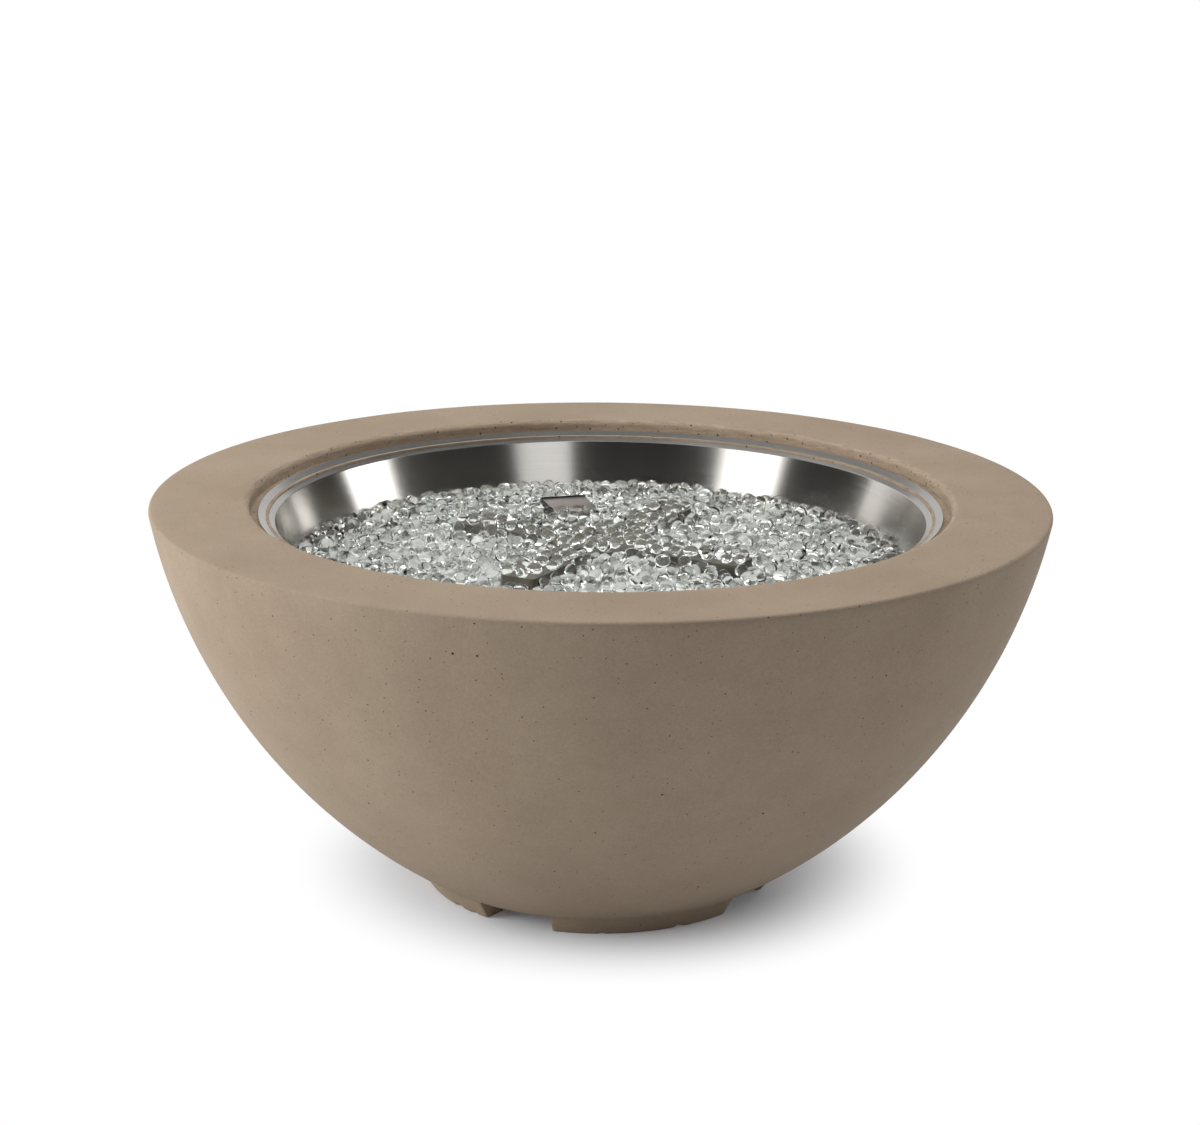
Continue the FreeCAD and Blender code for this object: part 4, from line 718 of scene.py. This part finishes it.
glassBed = {  # millimetres
    "rim": 374.4, "edge": 407.5, "crown": 433,  # the bed's crowned surface
    "floor": 386.5, "wallFoot": 370.4, "wallLean": 0.168,  # the pan's inside: its radius and lean
    "burnerTop": 422.3, "armReach": 195, "armHalf": 23, "hubRadius": 58,
    "overBurner": 436,  # one layer of beads lies on the burner's arms
    "hood": (-34.5, 30.5, 134, 182),  # west, east, south, north, kept free round the pilot's hood
    "hoodSides": 39, "hoodFloor": 391, "hoodRise": 4.5, "hoodRound": (12, 12, 13, 12),
    "long": (14.5, 20), "flatness": (0.72, 0.96), "oval": (0.86, 1.0),  # the beads' own sizes
    "kinds": 24, "proud": 3.2, "ceiling": 436.4, "tries": 30, "seed": 12,
    "passes": [  # turn in degrees, west, east, south, north, misses before the pass ends
        (0, -372, 372, -372, 372, 240), (45, -196, 196, -21, 21, 110), (-45, -196, 196, -21, 21, 110),
        (0, -46, 44, 100, 133, 60), (0, -350, 350, 290, 372, 120)],
    "roundHoodFirst": [  # beads that stand high before and left of the hood
        (-33, 124.4), (-15.5, 123.6), (2.5, 124.8), (20.5, 123.8), (-42, 141), (-41.5, 157), (-42, 173)],
    "roundHoodStack": ((1, 399), (4, 411), (7, 423)),  # the kind and top of the beads under each
    "roundHoodTop": 435.4,
    "walks": 5, "walk": 4,  # each bead settles by steps of about 4 mm
    "seenDepth": 10.5,  # beads this far below the surface get the coarse mesh and the clouded glass
    "seen": (3, 560), "deep": (2, 2200),  # fineness of a bead, beads in one piece
    "half": 400, "cell": 2,  # the height grid
}


def bedSurface(radius):
    rise = glassBed["crown"] - glassBed["edge"]
    bend = (glassBed["rim"] ** 2 + rise ** 2) / (2 * rise)
    return glassBed["crown"] - bend + np.sqrt(bend ** 2 - radius ** 2)


def bedGrids():  # the level that beads lie on, and the surface that they fill up to
    bed = glassBed
    line = np.arange(-bed["half"], bed["half"] + bed["cell"], bed["cell"], dtype=float)
    gridX, gridY = np.meshgrid(line, line, indexing="ij")

    def box(west, east, south, north):
        return (gridX > west) & (gridX < east) & (gridY > south) & (gridY < north)

    away = np.hypot(gridX, gridY)
    u, v = np.abs(gridX + gridY) / math.sqrt(2), np.abs(gridX - gridY) / math.sqrt(2)
    arms = [(long < bed["armReach"]) & (wide < bed["armHalf"]) for long, wide in ((u, v), (v, u))]
    cross = arms[0] | arms[1] | (away < bed["hubRadius"])
    level = np.full(gridX.shape, float(bed["floor"]))
    level[cross] = bed["burnerTop"]
    surface = bedSurface(np.minimum(away, bed["rim"]))
    surface[cross] = np.maximum(surface[cross], bed["overBurner"])
    west, east, south, north = bed["hood"]
    toWest, toEast, toSouth, toNorth = bed["hoodRound"]
    surface[box(west - toWest, east + toEast, south - toSouth, north + toNorth)] += bed["hoodRise"]
    level[box(-bed["hoodSides"], bed["hoodSides"], south, north)] = bed["hoodFloor"]
    level[box(west, east, south, north)] = 900  # above everything, so no bead lies there
    return level, surface


def beadKinds(luck):  # half sizes, reach on the grid, and the underside's cells and heights
    kinds, cell = [], glassBed["cell"]
    for number in range(glassBed["kinds"]):
        long = luck.uniform(*glassBed["long"]) / 2
        wide = long * luck.uniform(*glassBed["oval"])
        thick = wide * luck.uniform(*glassBed["flatness"])
        reach = 0.5 * (long + wide)
        steps = np.arange(-int(reach // cell), int(reach // cell) + 1)
        sx, sy = np.meshgrid(steps, steps, indexing="ij")
        share = 1 - (sx * cell) ** 2 / reach ** 2 - (sy * cell) ** 2 / reach ** 2
        keep = share > 0
        kinds.append((long, wide, thick, reach, sx[keep], sy[keep], np.sqrt(share[keep]) * thick))
    return kinds


def layBeads():  # drops the beads one by one, each into the lowest of several places
    bed = glassBed
    cell, half, tries = bed["cell"], bed["half"], bed["tries"]
    luck = np.random.default_rng(bed["seed"])
    level, surface = bedGrids()
    kinds = beadKinds(luck)
    beads, passNumber, misses = [], 0, 0

    def lay(number, x, y, z, over):
        sx, sy, dome = kinds[number][4:]
        rows, columns = int(round((x + half) / cell)) + sx, int(round((y + half) / cell)) + sy
        level[rows, columns] = np.maximum(level[rows, columns], z + dome)
        beads.append((number, x, y, z, over))

    for x, y in bed["roundHoodFirst"]:
        highest = (int(luck.integers(len(kinds))), bed["roundHoodTop"] - luck.random())
        for number, top in (*bed["roundHoodStack"], highest):
            lay(number, x, y, top - kinds[number][2], -2)
    while passNumber < len(bed["passes"]):
        turned, first, last, near, far, patience = bed["passes"][passNumber]
        number = int(luck.integers(len(kinds)))
        thick, reach, sx, sy, dome = kinds[number][2:]
        best = None
        alongX, alongY = luck.uniform(first, last, tries), luck.uniform(near, far, tries)
        cosine, sine = around(1, turned)
        px, py = alongX * cosine - alongY * sine, alongX * sine + alongY * cosine
        for walk in range(bed["walks"]):
            ix, iy = (np.rint((p + half) / cell).astype(int) for p in (px, py))
            rest = (level[ix[:, None] + sx, iy[:, None] + sy] + dome).max(axis=1)
            wall = bed["wallFoot"] + (rest - bed["floor"]) * bed["wallLean"] - reach
            over = rest + thick - surface[ix, iy]
            over[(np.hypot(px, py) > wall) | (rest + thick > bed["ceiling"])] = 999
            pick = int(np.argmin(over))
            if best is None or over[pick] < best[0] - 0.05:
                best = (over[pick], px[pick], py[pick], rest[pick])
            elif walk > 1:
                break
            px = np.clip(best[1] + luck.normal(0, bed["walk"], tries), -380, 380)
            py = np.clip(best[2] + luck.normal(0, bed["walk"], tries), -380, 380)
        over, x, y, z = best
        if over > bed["proud"] * luck.random():
            misses += 1
            if misses >= patience:
                passNumber, misses = passNumber + 1, 0
            continue
        lay(number, x, y, z, over)
    return kinds, beads


def beadShapes(kinds, detail):  # one softly uneven pebble for each kind
    luck = np.random.default_rng(glassBed["seed"] + detail)
    shapes = []
    for number, kind in enumerate(kinds):
        build = bmesh.new()
        bmesh.ops.create_icosphere(build, subdivisions=detail, radius=1)
        push = Vector((number * 7.3, number * 3.1, 5))
        flatSide = Vector(luck.normal(size=3)).normalized()
        for vert in build.verts:
            swell = 1 + 0.10 * noise.noise(vert.co * 1.3 + push) + 0.04 * noise.noise(vert.co * 2.6 + push)
            side = vert.co.dot(flatSide)
            vert.co = vert.co * swell - flatSide * max(0, side - 0.78) * 0.75
        corners = np.array([v.co for v in build.verts]) * np.array(kind[:3])
        faces = np.array([[v.index for v in f.verts] for f in build.faces])
        build.free()
        shapes.append((corners, faces))
    return shapes


def beadPiece(name, beads, shapes, material, luck):
    def turned(angle, axis):
        return Matrix.Rotation(angle, 3, axis)

    parts, faces, count = [], [], 0
    for number, x, y, z, over in beads:
        corners, corner = shapes[number]
        turn = turned(luck.uniform(0, 2 * math.pi), "Z") @ turned(luck.normal(0, 0.2), "X")
        turn = turn @ turned(luck.uniform(0, 2 * math.pi), "Z")
        if over > -4 and luck.random() < 0.12:
            turn = turned(luck.normal(0, 0.5), "Y") @ turn
        parts.append(corners @ np.array(turn).T + (x, y, z))
        faces.append(corner + count)
        count += len(corners)
    vertices, triangles = np.concatenate(parts) * mm, np.concatenate(faces)
    mesh = bpy.data.meshes.new(name)
    mesh.vertices.add(len(vertices))
    mesh.vertices.foreach_set("co", vertices.ravel())
    mesh.loops.add(triangles.size)
    mesh.loops.foreach_set("vertex_index", triangles.ravel())
    mesh.polygons.add(len(triangles))
    mesh.polygons.foreach_set("loop_start", np.arange(0, triangles.size, 3))
    mesh.polygons.foreach_set("loop_total", np.full(len(triangles), 3))
    mesh.update(calc_edges=True)
    mesh.polygons.foreach_set("use_smooth", [True] * len(triangles))
    piece = dressPiece(name, mesh, [material])
    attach(piece, "pan_assembly")
    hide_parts("fire_glass")
    return len(triangles)


def makeGlassBed():
    luck = np.random.default_rng(glassBed["seed"] + 100)
    kinds, beads = layBeads()
    beads.sort(key=lambda b: math.atan2(b[2], b[1]))
    seen = [b for b in beads if b[4] > -glassBed["seenDepth"]]
    deep = [b for b in beads if b[4] <= -glassBed["seenDepth"]]
    total = 0
    for label, group, material in (("seen", seen, glassTop), ("deep", deep, glassDeep)):
        detail, size = glassBed[label]
        shapes = beadShapes(kinds, detail)
        for start in range(0, len(group), size):
            name = f"fire_glass_{label}_{start // size + 1}"
            total += beadPiece(name, group[start:start + size], shapes, material, luck)
    print("glass beads:", len(seen), "seen,", len(deep), "under them,", total, "faces")


makeGlassBed()


# Pilot hood and its bracket

pilot = {  # millimetres
    "west": -27.45, "east": 29, "south": 135, "north": 179.45, "top": 431,
    "frontDrop": 19, "foot": 387.6, "sheet": 1.0, "fold": 1.7, "slit": 1.3,
    "bracketSheet": 1.5, "bracketFold": 2.2, "ears": 38, "floor": 386, "gap": 1.55,
    "edge": 0.16,  # the cut edges' rounding
}


def foldedSheet(name, corners, faces, thickness, fold, material):  # faces joined by rounded folds
    build = bmesh.new()
    verts = [build.verts.new(c) for c in corners]
    for face in faces:
        build.faces.new([verts[i] for i in face])
    bmesh.ops.recalc_face_normals(build, faces=build.faces)
    folds = [e for e in build.edges if len(e.link_faces) == 2 and e.calc_face_angle(0) > 0.5]
    bmesh.ops.bevel(build, geom=folds, offset=fold, segments=4, profile=0.5, affect="EDGES")
    bmesh.ops.scale(build, vec=(mm, mm, mm), verts=build.verts)
    piece = dressPiece(name, meshOf(name, build), [material])
    thick = piece.modifiers.new("thickness", "SOLIDIFY")
    thick.thickness, thick.offset, thick.use_even_offset = thickness * mm, -1, True
    soft = piece.modifiers.new("edges", "BEVEL")
    soft.width, soft.segments = pilot["edge"] * mm, 2
    soft.limit_method, soft.angle_limit = "ANGLE", math.radians(50)
    applyModifiers(piece)
    piece.data.polygons.foreach_set("use_smooth", [True] * len(piece.data.polygons))
    piece.data.set_sharp_from_angle(angle=math.radians(34))
    return piece


def makePilot():
    w, e, s, n, top = (pilot[k] for k in ("west", "east", "south", "north", "top"))
    low, foot, slit = top - pilot["frontDrop"], pilot["foot"], pilot["east"] - pilot["slit"]
    corners = [
        (w, s, top), (slit, s, top), (e, s + 0.01, top), (e, n, top), (w, n, top),
        (w, s, low), (slit, s, low), (e, s + 0.01, foot), (e, n, foot),
        (w + 3, s, low - 2.2), (slit - 3, s, low - 2.2)]
    faces = [(0, 1, 2, 3, 4), (0, 5, 9, 10, 6, 1), (2, 7, 8, 3)]
    hood = foldedSheet("pilot_hood_folded", corners, faces, pilot["sheet"], pilot["fold"], hoodSteel)
    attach(hood, "pan_assembly")
    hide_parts("pilot_hood")
    # painted shade: the black rear wall rises above the hood's back edge and the black side sheet closes its
    # left, standing for the dark gap and opening there
    sheet, ear = pilot["bracketSheet"], pilot["ears"]
    floor, back, left = pilot["floor"] + sheet, n + pilot["gap"], w - pilot["gap"]
    corners = [
        (-ear, s, floor), (ear, s, floor), (ear, back, floor), (e, back, floor), (left, back, floor),
        (-ear, back, floor), (e, back, top + 1.5), (left + 1.6, back, top + 1.5), (left + 1.6, back, floor)]
    faces = [(0, 1, 2, 3, 8, 5), (3, 6, 7, 8)]
    rear = foldedSheet("pilot_bracket_rear", corners, faces, sheet, pilot["bracketFold"], gapShadeSteel)
    corners = [
        (left, s, floor - 0.4), (left, s, top - 6), (left, s, top + 0.5), (left, back, top + 0.5),
        (left, back, floor - 0.4), (left - 4.2, s - 3.4, top - 7.5), (left - 4.2, s - 3.4, top - 1.2)]
    faces = [(0, 1, 2, 3, 4), (1, 5, 6, 2)]
    side = foldedSheet("pilot_bracket_side", corners, faces, sheet * 0.8, 0.8, gapShadeSteel)
    for piece in (rear, side):
        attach(piece, "pan_assembly")
        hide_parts("pilot_bracket")
    print("pilot hood and bracket made")


makePilot()


# Words and ticks on the control panel

marks = {  # millimetres on the panel's frame
    "level": -8.5, "ink": 0.12, "knob": (-32, 0), "size": 7.5,
    "words": [("OFF", -32, 38.5), ("HI", -70.5, 0), ("LO", -32, -38.5), ("IGNITE", 38, 30)],
    "ticks": [0, 90, 112.5, 135, 157.5, 180],  # degrees from OFF
    "tick": [(31.2, -0.4), (33.4, -0.4), (33.4, 0.4), (31.2, 0.4)],  # out from the knob's axis, sideways
    "knobTop": (21.4, 21.62),
    "pointer": [(-0.7, 9), (0.7, 9), (0.7, 18.6), (0.35, 19.3), (-0.35, 19.3), (-0.7, 18.6)],
}


def makeWords():
    turn = Matrix((panel["right"], panel["up"], panel["out"])).transposed().to_4x4()
    for word, x, y in marks["words"]:
        text = bpy.data.curves.new("mark", "FONT")
        text.body, text.size, text.extrude = word, marks["size"] * mm, marks["ink"] * mm
        text.align_x = text.align_y = "CENTER"
        mesh = meshOfCurve(text)
        mesh.transform(Matrix.Translation(onPanel(x, y, marks["level"])) @ turn)
        mesh.materials.clear()
        piece = dressPiece("panel_word_" + word.lower(), mesh, [ink])
        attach(piece, "bowl")


def makeTicks():
    vertices, faces = [], []
    cx, cy = marks["knob"]
    for angle in marks["ticks"]:
        x, y = around(1, 90 + angle)
        first = len(vertices)
        for level in (marks["level"], marks["level"] + marks["ink"]):
            for out, side in marks["tick"]:
                vertices.append(onPanel(cx + x * out - y * side, cy + y * out + x * side, level))
        sides = ((4, 5, 6, 7), (0, 1, 5, 4), (1, 2, 6, 5), (2, 3, 7, 6), (3, 0, 4, 7))
        faces += [tuple(first + i for i in side) for side in sides]
    ticks = meshPiece("panel_ticks", vertices, faces, [ink])
    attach(ticks, "bowl")


def makePointer():  # paint wiped into the knob's cut line
    cx, cy = marks["knob"]
    vertices, faces = prism([(cx + x, cy + y) for x, y in marks["pointer"]], *marks["knobTop"])
    pointer = meshPiece("knob_pointer", vertices, faces, [lineFill])
    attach(pointer, "knob")


makeWords()
makeTicks()
makePointer()
print("panel marks made")


# Hoses, tubes and leads inside the bowl

lines = {  # millimetres: route, radius, rib height, sleeve length, slot, and the points where the pan's lift would bend it; a line given these is left off the bodies, not bent
    "burner_hose": (
        [(20, 425.1, 284.9), (20, 410, 254.4), (10, 352.4, 176.4), (0, 270, 138), (-2, 180.2, 122),
         (-4, 95.6, 120), (-2, 28.7, 140), (0, 0, 190), (0, 0, 256)],
        6, 0.12, 20, "hose_cover", ((10, 352, 176), (0, 20, 150))),
    "supply_hose": (
        [(44, 425.1, 284.9), (44, 410, 254.4), (50, 342.4, 158.4), (44, 272.3, 96.3), (26, 190.2, 64.3),
         (6, 120, 62.3), (0, 80, 70.3), (0, 40, 70.3)],
        6, 0.12, 20, "hose_cover", None),
    "pilot_tube": (
        [(22, 426.4, 325.6), (22, 399.5, 338.95), (22, 330, 317.8), (14, 250, 299.8), (4, 185, 307.8),
         (0, 158, 335), (0, 158, 370)],
        2, 0, 0, "copper", ((18, 380, 325), (0, 166, 325))),
    "thermocouple_lead": (
        [(44, 426.4, 325.6), (44, 399.5, 338.95), (42, 325, 321.8), (32, 250, 307.8), (18, 190, 313.8),
         (14, 158, 338), (14, 158, 370)],
        1, 0, 0, "copper", ((44, 385, 335), (16, 166, 335))),
    "igniter_lead": (
        [(-38, 404, 336.7), (-38, 377.1, 350.1), (-38, 306, 317.8), (-30, 240, 301.8), (-18, 185, 309.8),
         (-14, 158, 336), (-14, 158, 370)],
        1.5, 0.04, 0, "lead_cover", ((-38, 372, 345), (-15, 166, 345))),
}
lineForm = {  # millimetres
    "ribbedStep": 2.2, "plainStep": 3.0,  # between the rings
    "thickSides": 20, "thinSides": 12,
    "sleeveRise": 0.9, "sleeveRib": 0.25,
    "sharp": 60,  # degrees
}


def smoothPath(route):
    curve = bpy.data.curves.new("path", "CURVE")
    curve.dimensions = "3D"
    spline = curve.splines.new("NURBS")
    spline.points.add(len(route) - 1)
    for point, place in zip(spline.points, route):
        point.co = (*(c * mm for c in place), 1)
    spline.order_u = 3
    spline.use_endpoint_u = True
    spline.resolution_u = 22
    return [v.co.copy() for v in meshOfCurve(curve).vertices]


def makeLine(name, route, radius, rib, sleeve, slot, bend):
    path = smoothPath(route)
    lengths = np.concatenate([[0], np.cumsum([(b - a).length for a, b in zip(path, path[1:])])])
    count = int(lengths[-1] / (lineForm["ribbedStep" if rib else "plainStep"] * mm))
    sides = lineForm["thickSides" if radius > 3 else "thinSides"]
    spots = np.linspace(0, lengths[-1], count + 1)
    centres = np.stack([np.interp(spots, lengths, [p[i] for p in path]) for i in range(3)], axis=1)
    up = Vector((1, 0, 0))
    vertices, faces, sleeved = [], [], []
    for i, centre in enumerate(centres):
        ahead = Vector(centres[min(i + 1, count)] - centres[max(i - 1, 0)]).normalized()
        up = (up - ahead * up.dot(ahead)).normalized()
        right = ahead.cross(up)
        sleeved.append(min(spots[i], lengths[-1] - spots[i]) / mm < sleeve)
        rise = lineForm["sleeveRise"] + lineForm["sleeveRib"] * (i % 2) if sleeved[i] else rib * (i % 2)
        for k in range(sides):
            a = 2 * math.pi * k / sides
            vertices.append(Vector(centre) + (up * math.cos(a) + right * math.sin(a)) * (radius + rise) * mm)
    for i in range(0, count * sides, sides):
        for k in range(sides):
            n = (k + 1) % sides
            faces.append((i + k, i + n, i + sides + n, i + sides + k))
    faces += [tuple(range(sides))[::-1], tuple(count * sides + k for k in range(sides))]
    looks = [slotLooks[slot], slotLooks["zinc_steel"]]
    piece = meshPiece(name + "_line", vertices, faces, looks, lineForm["sharp"])
    inSleeve = [int(sleeved[i] and sleeved[i + 1]) for i in range(count) for k in range(sides)] + [0, 0]
    piece.data.polygons.foreach_set("material_index", inSleeve)
    if bend:
        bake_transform(piece)
    else:
        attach(piece, "bowl")
    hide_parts(name)
    print(name, "length", round(lengths[-1] / mm), "mm")


for lineName, lineSizes in lines.items():
    makeLine(lineName, *lineSizes)


# Floor, light and camera

stage = {
    "floorTone": "#f4f4f4",
    "floorReach": 14,  # m
    "shadowTone": "#f1f7ff",  # cool, as the bowl's own light on the floor is warm
    "shadowAt": (0.02, 0.03, 0),  # m, the middle of the shadow that the floor keeps
    "fadeFrom": 0.21,  # m from there, where the floor starts to turn to plain backdrop
    "fadeTo": 0.4,
    "shadowLift": 0.04,
    "fill": 0.23,  # the world's own light on the object
    "fillTone": "#fbfbff",
    "lamps": [  # place, aim, width, height, watts, seen in reflections
        ("keyLamp", (-3.1, 0.22, 1.4), (0, 0, 0.3), 1.5, 2.0, 70, False),
        ("leftLamp", (-3.335, -0.678, 1.2), (0, 0, 0.3), 1.5, 1.7, 17, True),
        ("rightLamp", (3.398, -0.196, 1.1), (0, 0, 0.3), 1.35, 1.5, 15, True),
        ("topLamp", (0.0, 0.2, 2.9), (0, 0, 0.4), 2.4, 1.8, 47, False),
        ("backLamp", (2.3, 1.5, 1.3), (0, 0, 0.4), 0.5, 1.6, 18, False),
    ],
    "cards": [  # flags: from and to in degrees round the set, lower and upper edge in m, tone
        (133, 177, 0.02, 12, 0.02), (205.5, 267, 0.02, 12, 0.02), (289.5, 345.5, 0.02, 12, 0.02),
        (9, 56, 0.02, 12, 0.02), (58, 92, 0.02, 1.9, 0.85), (58, 92, 1.95, 12, 0.4)],
    "cardDistance": 3.6,
    "cardSteps": 8,
    "lens": (80.79, 36),  # mm, focal length and width of the film
    "cameraPlace": (-0.839, -3.024, 1.256),
    "cameraTurn": ((-15.5, "Z"), (90 - 15.37, "X"), (0.45, "Z")),  # degrees
}


def backdropMix(tree, near, plain):  # camera, glossy and transmission rays see plain
    path = add(tree, "ShaderNodeLightPath").outputs
    seen = mathOf(tree, "MAXIMUM", path["Is Camera Ray"], path["Is Glossy Ray"])
    seen = mathOf(tree, "MAXIMUM", seen, path["Is Transmission Ray"])
    return add(tree, "ShaderNodeMixShader", {0: seen, 1: near, 2: plain})


def floorMaterial():
    # Seamless white paper: matt near the bowl, where its shadow lies, and plain white beyond.
    made, tree, place = startMaterial("White paper floor")
    moved = vectorOf(tree, "SUBTRACT", place, stage["shadowAt"])[0]
    far = vectorOf(tree, "LENGTH", moved)["Value"]
    fade = rangeOf(tree, far, stage["shadowLift"], 1, stage["fadeFrom"], stage["fadeTo"],
                   interpolation_type="SMOOTHSTEP")
    paper = add(tree, "ShaderNodeBsdfDiffuse", {"Color": linear(stage["floorTone"])})
    seen = add(tree, "ShaderNodeBsdfDiffuse", {"Color": linear(stage["shadowTone"])})
    white = add(tree, "ShaderNodeEmission", {"Color": grey(1), "Strength": 1.0})
    lit = add(tree, "ShaderNodeMixShader", {0: fade, 1: seen.outputs[0], 2: white.outputs[0]})
    finishMaterial(tree, backdropMix(tree, paper.outputs[0], lit.outputs[0]))
    return made


def flagCloth(shade):
    # Black or grey felt on a frame: matt, with a loose weave.
    made, tree, place = startMaterial("Cloth flag")
    weave = noiseOf(tree, place, 1000 / 3.0)
    stops = [(0.3, grey(shade * 0.88)), (0.7, grey(shade * 1.12))]
    tone = add(tree, "ShaderNodeValToRGB", {"Fac": weave}, stops=stops)
    finishMaterial(tree, add(tree, "ShaderNodeBsdfDiffuse", {"Color": tone.outputs["Color"]}))
    return made


def makeCards():  # cloth flags that only reflections see; they give steel its dark bands
    steps = stage["cardSteps"]
    for number, (first, last, low, high, shade) in enumerate(stage["cards"]):
        line = [around(stage["cardDistance"], first + (last - first) * i / steps) for i in range(steps + 1)]
        vertices = [(x, y, level) for level in (low, high) for x, y in line]
        faces = [(i, i + 1, i + steps + 2, i + steps + 1) for i in range(steps)]
        card = meshPiece(f"flag_{number + 1}", vertices, faces, [flagCloth(shade)])
        card.visible_camera = card.visible_diffuse = False
        card.visible_transmission = card.visible_shadow = False


def makeFloor():
    vertices = [(x, y, 0) for x, y in circle(0, 0, stage["floorReach"], 64)]
    floor = meshPiece("floor", vertices, [tuple(range(len(vertices)))], [floorMaterial()])


def makeWorld():
    world = bpy.data.worlds.new("studio")
    bpy.context.scene.world = world
    world.use_nodes = True
    tree = world.node_tree
    tree.nodes.clear()
    fill = add(tree, "ShaderNodeBackground", {"Color": linear(stage["fillTone"]), "Strength": stage["fill"]})
    white = add(tree, "ShaderNodeBackground", {"Color": grey(1), "Strength": 1.0})
    mixed = backdropMix(tree, fill.outputs[0], white.outputs[0])
    add(tree, "ShaderNodeOutputWorld", {"Surface": mixed.outputs[0]})


def makeLamps():
    for name, place, aim, width, height, watts, inReflections in stage["lamps"]:
        lamp = bpy.data.lights.new(name, "AREA")
        lamp.shape = "RECTANGLE"
        lamp.size, lamp.size_y, lamp.energy = width, height, watts
        holder = bpy.data.objects.new(name, lamp)
        holder.location = place
        holder.visible_glossy = inReflections
        holder.rotation_euler = (Vector(aim) - Vector(place)).to_track_quat("-Z", "Y").to_euler()
        bpy.context.scene.collection.objects.link(holder)


def makeCamera():
    scene = bpy.context.scene
    scene.view_settings.view_transform = "Standard"
    camera = bpy.data.cameras.new("photoCamera")
    camera.sensor_fit = "HORIZONTAL"
    camera.lens, camera.sensor_width = stage["lens"]
    holder = bpy.data.objects.new("photoCamera", camera)
    first, second, third = (Matrix.Rotation(math.radians(a), 4, axis) for a, axis in stage["cameraTurn"])
    holder.matrix_world = Matrix.Translation(stage["cameraPlace"]) @ (first @ second @ third)
    scene.collection.objects.link(holder)
    scene.camera = holder


makeFloor()
makeWorld()
makeLamps()
makeCamera()
makeCards()
print("stage made")
